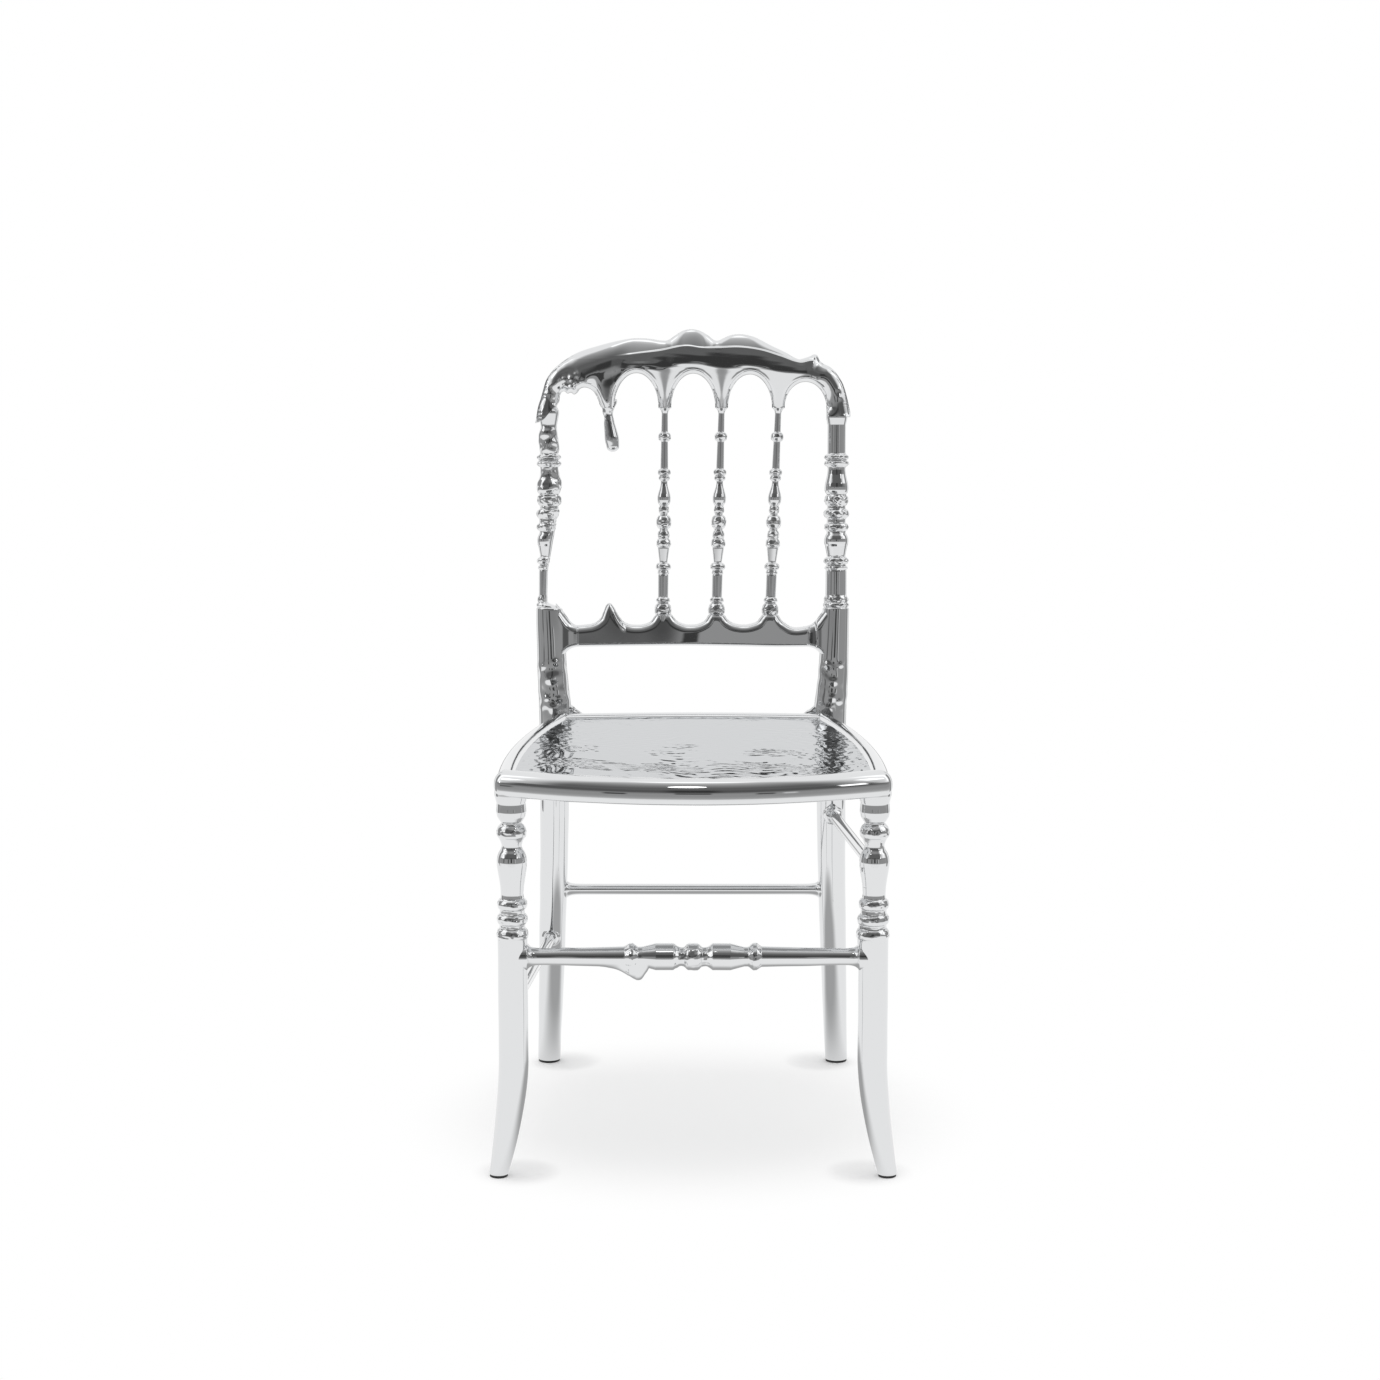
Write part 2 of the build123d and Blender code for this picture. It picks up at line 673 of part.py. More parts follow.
def spindle(index, crest, lower_rail):
    """Turned spindle between the lower rail and the crest rail, with a peg at each end."""
    foot, top, direction = spindle_line(index)
    length = (top - foot).length
    stations = (
        SPINDLE_FOOT_TURNING
        + shifted(SPINDLE_WAIST_TURNING, length / 2)
        + shifted(SPINDLE_TOP_TURNING, length)
    )
    body = Plane(origin=foot, x_dir=(1, 0, 0), z_dir=direction) * turned(stations)
    body = one_solid(body - crest - lower_rail)
    for line in spindle_pegs(index):
        body += peg(*line)
    return one_solid(body)


def stub_line():
    """Root and direction of the stub that hangs from the first drop."""
    root = back_point(SPINDLE_TOPS[0], DROP_HEIGHT)
    tip = back_point(SPINDLE_TOPS[0] + STUB_LEAN, DROP_HEIGHT - STUB_LENGTH)
    return root, (tip - root).normalized()


def stub_peg():
    root, direction = stub_line()
    return spindle_peg(root, direction * -1)


def spindle_stub(crest):
    """Melted remnant of the broken spindle, pegged into the crest rail."""
    root, direction = stub_line()
    body = Plane(origin=root, x_dir=(1, 0, 0), z_dir=direction) * turned(STUB_TURNING)
    return one_solid(one_solid(body - crest) + peg(*stub_peg()))


# Stretchers

def front_stretcher():
    """Turned front stretcher with its drip, and plain ends that seat in the legs."""
    half = FRONT_LEG_X - FRONT_SHAFT_RADIUS + STRETCHER_PEG_LENGTH
    right = FRONT_STRETCHER_TURNING + [(half, FRONT_STRETCHER_END_RADIUS)]
    axis = Plane(origin=(0, FRONT_LEG_Y, FRONT_STRETCHER_HEIGHT), x_dir=(0, 1, 0), z_dir=(1, 0, 0))
    bar = axis * turned(right)
    bar += bar.mirror(Plane.YZ)
    drip = make_face([Spline(*DRIP_OUTLINE), Line(DRIP_OUTLINE[-1], DRIP_OUTLINE[0])])
    hanging = Plane(origin=(0, FRONT_LEG_Y, FRONT_STRETCHER_HEIGHT), x_dir=(1, 0, 0), z_dir=(0, -1, 0))
    return one_solid(bar + extrude(hanging * drip, amount=DRIP_THICKNESS / 2, both=True))


def front_stretcher_socket(side):
    """Bore in a front leg for the end of the front stretcher."""
    reach = FRONT_LEG_X - FRONT_SHAFT_RADIUS - STRETCHER_PEG_LENGTH
    start = (side * reach, FRONT_LEG_Y, FRONT_STRETCHER_HEIGHT)
    return socket(start, (side, 0, 0), FRONT_STRETCHER_END_RADIUS, 2 * STRETCHER_PEG_LENGTH)


def post_axis(side, height):
    """Centre of a post below the seat, on straight runs between its foot, calf and knee."""
    marks = [
        (0.0, REAR_FOOT_X, REAR_FOOT_Y),
        (CALF_HEIGHT, CALF_X, CALF_Y),
        (KNEE_HEIGHT, KNEE_X, KNEE_Y),
        (SEAT_HEIGHT, POST_SEAT_X, BACK_Y),
    ]
    for low, high in zip(marks, marks[1:]):
        if height <= high[0]:
            share = (height - low[0]) / (high[0] - low[0])
            x = low[1] + (high[1] - low[1]) * share
            y = low[2] + (high[2] - low[2]) * share
            return Vector(side * x, y, height)
    return Vector(side * POST_SEAT_X, BACK_Y, height)


def rear_stretcher_ends():
    """Ends of the rear stretcher inside the posts."""
    inset = CALF_RADIUS - STRETCHER_PEG_LENGTH
    ends = []
    for side in (LEFT, RIGHT):
        centre = post_axis(side, REAR_STRETCHER_HEIGHT)
        ends.append(centre - Vector(side * inset, 0, 0))
    return ends


def side_stretcher_ends(side):
    """Ends of a side stretcher inside its leg and its post."""
    front_height = LEFT_STRETCHER_FRONT if side == LEFT else RIGHT_STRETCHER_FRONT
    rear_height = LEFT_STRETCHER_REAR if side == LEFT else RIGHT_STRETCHER_REAR
    front = Vector(side * FRONT_LEG_X, FRONT_LEG_Y, front_height)
    rear = post_axis(side, rear_height)
    direction = (rear - front).normalized()
    front_inset = FRONT_SHAFT_RADIUS - STRETCHER_PEG_LENGTH
    rear_inset = CALF_RADIUS - STRETCHER_PEG_LENGTH
    return front + direction * front_inset, rear - direction * rear_inset


def rod(start, end, radius):
    return peg(start, end - start, radius, (end - start).length)


def rod_socket(start, end, radius):
    """Bore for a rod that also clears both of its ends."""
    direction = (end - start).normalized()
    return socket(start - direction * CLEARANCE, direction, radius, (end - start).length + CLEARANCE)


# Glides

def foot_glide(centre, radius):
    """Round glide under a foot with a stem pressed up into it."""
    disc = peg(centre, UP, radius - GLIDE_INSET, GLIDE_THICKNESS)
    return disc + peg(centre, UP, GLIDE_STEM_RADIUS, GLIDE_THICKNESS + GLIDE_STEM_LENGTH)


def glide_socket(centre):
    return socket(centre, UP, GLIDE_STEM_RADIUS, GLIDE_THICKNESS + GLIDE_STEM_LENGTH)


# Joints of the seat frame

def leg_peg(side):
    """Start, direction, radius and length of the peg on a front leg that carries the seat rails."""
    start = Vector(side * FRONT_LEG_X, FRONT_LEG_Y, FRONT_RAIL_FOOT - LEG_PEG_RADIUS)
    return start, UP, LEG_PEG_RADIUS, LEG_PEG_RADIUS + LEG_PEG_LENGTH


def side_rail_pegs(side):
    """Start, direction and length of the pegs at the front and rear of a side rail."""
    path = side_rail_arc(side)
    front = path % 0
    rear = path % 1
    z_shift = UP * (RAIL_HEIGHT / 4)
    inside = RAIL_WIDTH / 2
    front_start = path @ 0 + front * (FRONT_RAIL_RADIUS + inside) + z_shift
    rear_start = path @ 1 - rear * (POST_SEAT_RADIUS + inside)
    return [
        (front_start, front * -1, RAIL_PEG_RADIUS, inside + RAIL_PEG_LENGTH),
        (rear_start, rear, RAIL_PEG_RADIUS, inside + RAIL_PEG_LENGTH),
    ]


def rear_rail_pegs():
    """Start, direction and length of the pegs at the two ends of the rear rail."""
    path = rear_rail_arc()
    inside = RAIL_WIDTH / 2
    reach = RAIL_WIDTH / 2 + inside
    return [
        (path @ 0 + (path % 0) * reach, (path % 0) * -1, RAIL_PEG_RADIUS, inside + RAIL_PEG_LENGTH),
        (path @ 1 - (path % 1) * reach, path % 1, RAIL_PEG_RADIUS, inside + RAIL_PEG_LENGTH),
    ]


# Assembly

def main():
    os.makedirs("parts", exist_ok=True)
    sides = (("left", LEFT), ("right", RIGHT))
    lugs = lug_planes()
    rebate = panel_blank(CLEARANCE, SEAT_HEIGHT)
    roll = front_rail_roll()
    legs = {side: front_leg_limb(side) for _, side in sides}
    posts = {side: post_limb(side) for _, side in sides}
    posts[LEFT] -= melted_side()
    side_bars = {side: bar_along(side_rail_arc(side)) - roll - posts[side] for _, side in sides}
    crest = crest_slab()
    lower_rail = lower_rail_slab()
    stretcher_ends = {side: side_stretcher_ends(side) for _, side in sides}
    rear_ends = rear_stretcher_ends()

    # Front rail with the bores for its legs and side rails
    front_rail = roll - rebate
    for plane in lugs["front"]:
        front_rail += lug(plane)
    for _, side in sides:
        front_rail -= socket(*leg_peg(side))
        front_rail -= socket(*side_rail_pegs(side)[0])
    save("seat_front_rail", one_solid(front_rail))

    # Side rails
    for name, side in sides:
        bar = one_solid(side_bars[side]) - rebate
        for plane in lugs[name]:
            bar += lug(plane)
        bar = one_solid(bar)
        for line in side_rail_pegs(side):
            bar += peg(*line)
        bar -= socket(*leg_peg(side))
        bar -= socket(*rear_rail_pegs()[0 if side == LEFT else 1])
        save(f"seat_side_rail_{name}", one_solid(bar))

    # Rear rail
    rear_bar = bar_along(rear_rail_arc())
    for _, side in sides:
        rear_bar = rear_bar - side_bars[side] - posts[side]
    rear_bar = one_solid(rear_bar) - rebate
    for plane in lugs["rear"]:
        rear_bar += lug(plane)
    for line in rear_rail_pegs():
        rear_bar += peg(*line)
    save("seat_rear_rail", one_solid(rear_bar))

    # Seat panel and its screws
    all_lugs = [plane for planes in lugs.values() for plane in planes]
    save("seat_panel", seat_panel(all_lugs))
    save("seat_panel_screws", Compound(children=[one_solid(panel_screw(plane)) for plane in all_lugs]))

    # Front legs
    for name, side in sides:
        leg = one_solid(legs[side] - roll - side_bars[side])
        leg += peg(*leg_peg(side))
        leg -= front_stretcher_socket(side)
        leg -= rod_socket(*stretcher_ends[side], SIDE_STRETCHER_RADIUS)
        foot = front_leg_axis(side, 0)
        leg -= glide_socket(foot)
        save(f"front_leg_{name}", one_solid(leg))
        save(f"foot_glide_front_{name}", foot_glide(foot, FRONT_FOOT_RADIUS))

    # Posts
    for name, side in sides:
        post = posts[side]
        end = back_point(side * LOWER_RAIL_END_X, (LOWER_RAIL_FOOT + LOWER_RAIL_END_TOP) / 2)
        top = back_point(side * POST_X, sleeve_foot(side))
        post -= socket(end, (side, 0, 0), RAIL_PEG_RADIUS, RAIL_PEG_LENGTH)
        post -= socket(*side_rail_pegs(side)[1])
        post -= rod_socket(*rear_ends, REAR_STRETCHER_RADIUS)
        post -= rod_socket(*stretcher_ends[side], SIDE_STRETCHER_RADIUS)
        foot = post_axis(side, 0)
        post -= glide_socket(foot)
        post += peg(top - BACK.y_dir * PEG_ROOT, BACK.y_dir, POST_PEG_RADIUS, POST_PEG_LENGTH + PEG_ROOT)
        save(f"rear_post_{name}", one_solid(post))
        save(f"foot_glide_rear_{name}", foot_glide(foot, REAR_FOOT_RADIUS))
        crest -= socket(top, BACK.y_dir, POST_PEG_RADIUS, POST_PEG_LENGTH)
        outward = Vector(side, 0, 0)
        lower_rail += peg(end - outward * PEG_ROOT, outward, RAIL_PEG_RADIUS, RAIL_PEG_LENGTH + PEG_ROOT)

    # Spindles and the two back rails that hold them
    crest_blank = crest
    lower_blank = lower_rail
    save("spindle_stub", spindle_stub(crest_blank))
    crest -= socket(*stub_peg())
    for index, name in enumerate(("left", "centre", "right"), start=1):
        save(f"spindle_{name}", spindle(index, crest_blank, lower_blank))
        foot_peg, top_peg = spindle_pegs(index)
        lower_rail -= socket(*foot_peg)
        crest -= socket(*top_peg)
    save("crest_rail", one_solid(crest))
    save("lower_back_rail", one_solid(lower_rail))

    # Stretchers
    save("front_stretcher", front_stretcher())
    save("rear_stretcher", rod(*rear_ends, REAR_STRETCHER_RADIUS))
    for name, side in sides:
        save(f"side_stretcher_{name}", rod(*stretcher_ends[side], SIDE_STRETCHER_RADIUS))


main()
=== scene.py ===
"""Looks of a mirror-chromed cast side chair whose turnings have partly melted.

The castings are built around the chair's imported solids. Lengths in the classes are millimetres in the chair's
own frame: +X to the right as seen from the front, +Y to the back, +Z up from the floor. The meshes are turned
to metres when they are made.
"""

import logging
import math
from dataclasses import dataclass, field
from enum import Enum

import bpy
import numpy as np
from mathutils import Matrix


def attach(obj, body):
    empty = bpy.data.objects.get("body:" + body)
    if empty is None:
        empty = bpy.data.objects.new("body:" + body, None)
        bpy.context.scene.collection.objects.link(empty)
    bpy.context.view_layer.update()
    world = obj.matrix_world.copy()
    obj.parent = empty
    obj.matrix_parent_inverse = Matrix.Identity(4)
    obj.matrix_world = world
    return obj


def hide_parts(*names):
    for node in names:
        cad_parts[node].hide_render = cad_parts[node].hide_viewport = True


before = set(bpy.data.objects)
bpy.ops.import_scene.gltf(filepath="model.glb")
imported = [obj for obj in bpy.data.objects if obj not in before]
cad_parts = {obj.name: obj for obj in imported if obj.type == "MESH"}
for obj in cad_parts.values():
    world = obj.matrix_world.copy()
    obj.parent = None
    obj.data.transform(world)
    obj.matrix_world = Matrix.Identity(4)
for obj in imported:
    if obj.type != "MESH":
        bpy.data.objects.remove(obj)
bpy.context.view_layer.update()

Array = np.ndarray
Pair = tuple[float, float]
Numbers = tuple[float, ...]
Stations = tuple[Numbers, ...]
Wave = Pair                # depth and length of an unevenness
LOG = logging.getLogger("chair")
MM = 0.001
BODY = "root"
SIDES = 72                 # points round a turned piece
BEAD_ROUNDNESS = 0.57      # 0.5 is an ellipse and 1 a parabola
EDGE = 0.6                 # half width of the narrow land left on a rounded edge
WAVES = 9                  # sine waves added up in a casting's unevenness
LONGEST_BEAD = 17.0        # a longer swelling is a smooth vase
BEAD_WAVE = (0.2, 5.5)     # unevenness of beads
BEAD_BLEND = (2.0, 1.0)    # where it starts outside a bead's ends, and where it is full inside them
WAVE_SPREAD = (0.7, 1.5)   # lowest and highest pace of a casting's waves, as shares of the usual one
ROWS_AT_ONCE = 16          # rows of a grid that are measured together
BLUNT = 0.999              # share of a rounded end's length where it closes
PATCH_NOISE = (0.35, 0.7)  # values of a finish's noise that are its smoothest and its roughest
SEAT_HEIGHT = 432.0
X_AXIS = np.array([1.0, 0.0, 0.0])
Y_AXIS = np.array([0.0, 1.0, 0.0])
Z_AXIS = np.array([0.0, 0.0, 1.0])
MIRRORED = np.array([-1, 1, 1])   # turns a point to the other side of the chair


class Side(Enum):
    """Side of the chair as seen from the front."""

    LEFT = -1
    RIGHT = 1

    @property
    def word(self) -> str:
        """Ending of a node's name."""
        return self.name.lower()


class Slot(Enum):
    """Material slots of the record; the castings here are not given them."""

    FRAME = "chrome_frame"
    SEAT = "chrome_seat"
    GLIDE = "glide_rubber"


# Curves and surfaces

def unit(vectors: Array) -> Array:
    """Vectors of length one."""
    return vectors / np.linalg.norm(vectors, axis=-1, keepdims=True)


def smoothstep(low: float, high: float, value: Array) -> Array:
    """Rise from 0 at low to 1 at high as 3t^2 - 2t^3."""
    share = np.clip((value - low) / (high - low), 0, 1)
    return share * share * (3 - 2 * share)


def bell(centre: float, width: float, value: Array) -> Array:
    """Bell curve exp(-((value - centre) / width)^2)."""
    return np.exp(-(((value - centre) / width) ** 2))


def span(marks: Numbers, value: Array) -> Array:
    """Rise from 0 to 1 over the first two of four marks and fall back to 0 over the last two."""
    return smoothstep(marks[0], marks[1], value) * (1 - smoothstep(marks[2], marks[3], value))


def ring_angles(sides: int = SIDES) -> Array:
    """Evenly spaced angles round a ring."""
    return np.linspace(0, 2 * math.pi, sides, endpoint=False)


def pairs(first: Array, second: Array) -> Array:
    """Points of a flat drawing from their two parts."""
    return np.stack(np.broadcast_arrays(first, second), axis=-1)


def round_end(count: int) -> tuple[Array, Array]:
    """Steps out along a rounded end and its radius there, as shares: sin t and sqrt(1 - sin^2 t)."""
    out = np.sin(np.linspace(0, math.pi / 2, count))[1:]
    return out, np.sqrt(1 - np.minimum(out, BLUNT) ** 2)


def hermite(marks: Array, values: Array, at: Array) -> Array:
    """Smooth curve through values at rising marks.

    Each span is the cubic whose slopes at its two marks are those of the parabola through the neighbours.

    Args:
        marks: Rising places of the values.
        values: A number or a point for each mark.
        at: Places to read.

    Returns:
        A number or a point for each place.
    """
    marks = np.asarray(marks, float)
    values = np.asarray(values, float)
    flat = values.reshape(len(marks), -1)
    slopes = np.gradient(flat, marks, axis=0)
    at = np.clip(np.asarray(at, float), marks[0], marks[-1])
    below = np.clip(np.searchsorted(marks, at, side="right") - 1, 0, len(marks) - 2)
    width = (marks[below + 1] - marks[below])[..., None]
    t = (at - marks[below])[..., None] / width
    curve = (
        (2 * t**3 - 3 * t**2 + 1) * flat[below]
        + (t**3 - 2 * t**2 + t) * width * slopes[below]
        + (3 * t**2 - 2 * t**3) * flat[below + 1]
        + (t**3 - t**2) * width * slopes[below + 1]
    )
    return curve.reshape(at.shape + values.shape[1:])


def read(line: Stations, at: Array) -> Array:
    """Smooth curve through a line's second values over its first ones."""
    marks = np.array(line, float)
    return hermite(marks[:, 0], marks[:, 1], at)


def run_of(points: Array) -> Array:
    """Length along a line of points at each of them."""
    return np.concatenate([[0.0], np.cumsum(np.linalg.norm(np.diff(points, axis=0), axis=1))])


def smooth_path(points: Array, spacing: float) -> tuple[Array, Array, Array]:
    """Smooth line through points.

    Args:
        points: Points in order.
        spacing: Distance between the points returned.

    Returns:
        The line's points, their lengths along it, and the lengths of the given points.
    """
    marks = run_of(points)
    at = np.linspace(0, marks[-1], max(8, int(marks[-1] / spacing)))
    return hermite(marks, points, at), at, marks


def turning_radius(stations: Stations, at: Array, soft: float = 0.5,
                   bulge: float = BEAD_ROUNDNESS) -> Array:
    """Radius of a turning, read from its stations and softened as a cast edge is.

    Between two stations the radius is a straight line plus, where the upper one gives a mid radius, a bead
    of height h * (1 - (2t - 1)^2)^bulge. A bell curve of the width soft then blurs the corners.

    Args:
        stations: Place, radius and, for a bead, mid radius, in order along the turning.
        at: Places to read.
        soft: Width of the softening.
        bulge: Power of the beads.

    Returns:
        A radius for each place.
    """
    step = 0.2
    pad = 4 * soft
    fine = np.arange(stations[0][0] - pad, stations[-1][0] + pad, step)
    radius = np.full(fine.shape, stations[0][1], float)
    for below, above in zip(stations, stations[1:]):
        t = np.clip((fine - below[0]) / (above[0] - below[0]), 0, 1)
        line = below[1] + (above[1] - below[1]) * t
        swell = above[2] - (below[1] + above[1]) / 2 if len(above) == 3 else 0.0
        bead = swell * np.maximum(1 - (2 * t - 1) ** 2, 0) ** bulge
        radius = np.where(fine > below[0], line + bead, radius)
    reach = np.arange(-pad, pad + step, step)
    weights = bell(0, soft, reach)
    wide = np.pad(radius, len(reach), mode="edge")
    radius = np.convolve(wide, weights / weights.sum(), mode="same")[len(reach):-len(reach)]
    return np.interp(at, fine, radius)


def on_beads(stations: Stations, at: Array) -> Array:
    """Share from 0 to 1 that says where a turning has short beads and rings, which are cast the roughest.

    Args:
        stations: Stations of the turning.
        at: Places to read.

    Returns:
        A share for each place.
    """
    outside, inside = BEAD_BLEND
    share = np.zeros(at.shape)
    for (start, *_), (end, *radii) in zip(stations, stations[1:]):
        if len(radii) == 2 and end - start < LONGEST_BEAD:
            marks = (start - outside, start + inside, end - inside, end + outside)
            share = np.maximum(share, span(marks, at))
    return share


def cast_wave(points: Array, depth: float, length: float, seed: int) -> Array:
    """Unevenness of a casting: sine waves of about one length in seeded directions, added up.

    Args:
        points: Points in space.
        depth: Usual height of the waves.
        length: Usual length of a wave.
        seed: Seed of the directions and phases.

    Returns:
        A height for each point.
    """
    draw = np.random.default_rng(seed)
    pace = draw.uniform(*WAVE_SPREAD, (WAVES, 1)) * 2 * math.pi / length
    headings = unit(draw.normal(size=(WAVES, 3))) * pace
    phases = draw.uniform(0, 2 * math.pi, WAVES)
    return depth * np.sin(points @ headings.T + phases).sum(axis=-1) / math.sqrt(WAVES)


def axes_along(path: Array, reference: Array, heading: Array | None = None) -> tuple[Array, Array]:
    """Two directions square to a path, or to a given heading, the first also square to a reference.

    Args:
        path: Points of the path.
        reference: Direction that the path is never parallel to.
        heading: Direction to be square to, where it isn't the path's own.

    Returns:
        The two directions at each point.
    """
    heading = unit(np.gradient(path, axis=0) if heading is None else heading)
    first = unit(np.cross(reference, heading))
    return first, np.cross(heading, first)


def tube(path: Array, radius: Array, reference: Array = Y_AXIS, sides: int = SIDES,
         heading: Array | None = None) -> Array:
    """Round surface carried along a path: centre + radius * (cos a * first + sin a * second).

    Args:
        path: Centres of the rings.
        radius: One radius for each ring, or one for each ring and angle.
        reference: Direction that the path is never parallel to.
        sides: Points in a ring.
        heading: Direction that each ring is square to, where it isn't the path's own.

    Returns:
        A grid of points, ring by ring.
    """
    first, second = axes_along(path, reference, heading)
    angle = ring_angles(sides)[:, None]
    reach = radius[:, None] if radius.ndim == 1 else radius
    round_way = np.cos(angle) * first[:, None] + np.sin(angle) * second[:, None]
    return path[:, None] + reach[..., None] * round_way


def wavy_tube(path: Array, radius: Array, wave: Wave, seed: int, share: Array | float = 1.0, **way) -> Array:
    """Tube whose radius swells by a casting's unevenness, as a share of itself.

    Args:
        path: Centres of the rings.
        radius: One radius for each ring.
        wave: Depth, as a share of the radius, and length of the unevenness.
        seed: Seed of the unevenness.
        share: How much of it each ring takes.
        way: Reference and sides of the tube.

    Returns:
        A grid of points, ring by ring.
    """
    swell = cast_wave(tube(path, radius, **way), *wave, seed)
    return tube(path, radius[:, None] * (1 + share * swell), **way)


def bar(path: Array, half_width: Array, half_height: Array, squareness: float, reference: Array) -> Array:
    """Bar of rounded section along a path: a superellipse |x/a|^n + |y/b|^n = 1 in each ring.

    Args:
        path: Centres of the sections.
        half_width: Half width a at each section.
        half_height: Half height b at each section.
        squareness: The power n.
        reference: Direction of the height.

    Returns:
        A grid of points, section by section.
    """
    first, second = axes_along(path, reference)
    angle = ring_angles()[:, None]
    across = np.sign(np.cos(angle)) * np.abs(np.cos(angle)) ** (2 / squareness)
    up = np.sign(np.sin(angle)) * np.abs(np.sin(angle)) ** (2 / squareness)
    wide = half_width[:, None, None] * across * first[:, None]
    return path[:, None] + wide + half_height[:, None, None] * up * second[:, None]


def arc_through(start: Array, middle: Array, end: Array, count: int) -> Array:
    """Level circular arc from a start by way of its middle to an end, as evenly spaced points.

    Args:
        start: First point.
        middle: Middle of the arc.
        end: Last point.
        count: Number of points.

    Returns:
        The points in order.
    """
    chord = end - start
    half = np.linalg.norm(chord) / 2
    sag = middle - (start + end) / 2
    depth = np.linalg.norm(sag)
    radius = (half**2 + depth**2) / (2 * depth)
    centre = middle - unit(sag) * radius
    reach = math.asin(min(1.0, half / radius))
    angle = np.linspace(-reach, reach, count)[:, None]
    return centre + radius * (np.sin(angle) * unit(chord) + np.cos(angle) * unit(sag))


def near(points: Array, line: Array) -> Array:
    """Distance from each point of a grid to the nearest point of a line, worked out in blocks of rows.

    Args:
        points: Grid of points.
        line: Points of the line, close together.

    Returns:
        A distance for each point.
    """
    blocks = np.array_split(points, max(1, len(points) // ROWS_AT_ONCE))
    return np.concatenate([
        np.sqrt(((block[:, :, None] - line) ** 2).sum(axis=-1).min(axis=-1)) for block in blocks
    ])


def round_edge(distance: Array, radius: Array | float) -> Array:
    """Quarter circle from 0 at an edge to 1 at a radius from it and beyond."""
    share = 1 - np.clip(distance / radius, 0, 1)
    return np.sqrt(1 - share**2)


def shell(grid: Array) -> tuple[Array, Array, Array]:
    """Closed shell of a grid that goes round its second parameter, with a point closing each end.

    Args:
        grid: Rings of points.

    Returns:
        Vertices, four-sided faces and the triangles at the two ends, all facing outwards.
    """
    rows, columns = grid.shape[:2]
    index = np.arange(rows * columns).reshape(rows, columns)
    beyond = np.roll(index, -1, axis=1)
    quads = np.stack([index[:-1], beyond[:-1], beyond[1:], index[1:]], axis=-1).reshape(-1, 4)
    first = np.stack([beyond[0], index[0], np.full(columns, rows * columns)], axis=-1)
    last = np.stack([index[-1], beyond[-1], np.full(columns, rows * columns + 1)], axis=-1)
    vertices = np.concatenate([grid.reshape(-1, 3), [grid[0].mean(axis=0)], [grid[-1].mean(axis=0)]])
    triangles = np.concatenate([first, last])
    split = np.concatenate([quads[:, [0, 1, 2]], quads[:, [0, 2, 3]], triangles])
    corner = vertices[split] - vertices.mean(axis=0)
    volume = np.einsum("ij,ij->i", corner[:, 0], np.cross(corner[:, 1], corner[:, 2])).sum()
    if volume < 0:
        quads, triangles = quads[:, ::-1], triangles[:, ::-1]
    return vertices, quads, triangles


def add_piece(name: str, grids: list[Array], finish: "Finish") -> bpy.types.Object:
    """Make one piece of the chair from closed grids, in place of the node of the same name.

    Args:
        name: Name of the node that the piece stands for.
        grids: Closed grids in millimetres.
        finish: Finish of the whole piece.

    Returns:
        The piece's object, riding on the chair's one body.
    """
    vertices, faces, base = [], [], 0
    for grid in grids:
        points, quads, triangles = shell(grid)
        vertices.append(points)
        faces += (quads + base).tolist() + (triangles + base).tolist()
        base += len(points)
    mesh = bpy.data.meshes.new(name + "_cast")
    mesh.from_pydata(np.concatenate(vertices) * MM, [], faces)
    mesh.polygons.foreach_set("use_smooth", np.ones(len(mesh.polygons), bool))
    mesh.update()
    mesh.materials.append(finish.material())
    piece = bpy.data.objects.new(name + "_cast", mesh)
    bpy.context.scene.collection.objects.link(piece)
    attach(piece, BODY)
    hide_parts(name)
    LOG.info("%s: %d faces", piece.name, len(faces))
    return piece


# Finishes

def linear(code: str) -> tuple[float, float, float, float]:
    """Linear colour of an sRGB hex code.

    Args:
        code: Six hex digits.

    Returns:
        Red, green, blue and a full alpha.
    """
    parts = np.array([int(code[i:i + 2], 16) for i in (0, 2, 4)]) / 255
    light = np.where(parts <= 0.04045, parts / 12.92, ((parts + 0.055) / 1.055) ** 2.4)
    return (*light.tolist(), 1.0)


def add_node(tree: bpy.types.NodeTree, kind: str, inputs: dict | None = None, **settings) -> bpy.types.Node:
    """Add a shader node, set its properties, and set or link its input sockets.

    Args:
        tree: Tree that takes the node.
        kind: Node type, without the word that all shader nodes start with.
        inputs: Values, sockets, or nodes whose first output is meant, by socket name or number.
        settings: Properties by name.

    Returns:
        The new node.
    """
    node = tree.nodes.new("ShaderNode" + kind)
    for name, value in settings.items():
        setattr(node, name, value)
    for key, value in (inputs or {}).items():
        source = value.outputs[0] if isinstance(value, bpy.types.Node) else value
        if isinstance(source, bpy.types.NodeSocket):
            tree.links.new(source, node.inputs[key])
        else:
            node.inputs[key].default_value = source
    return node


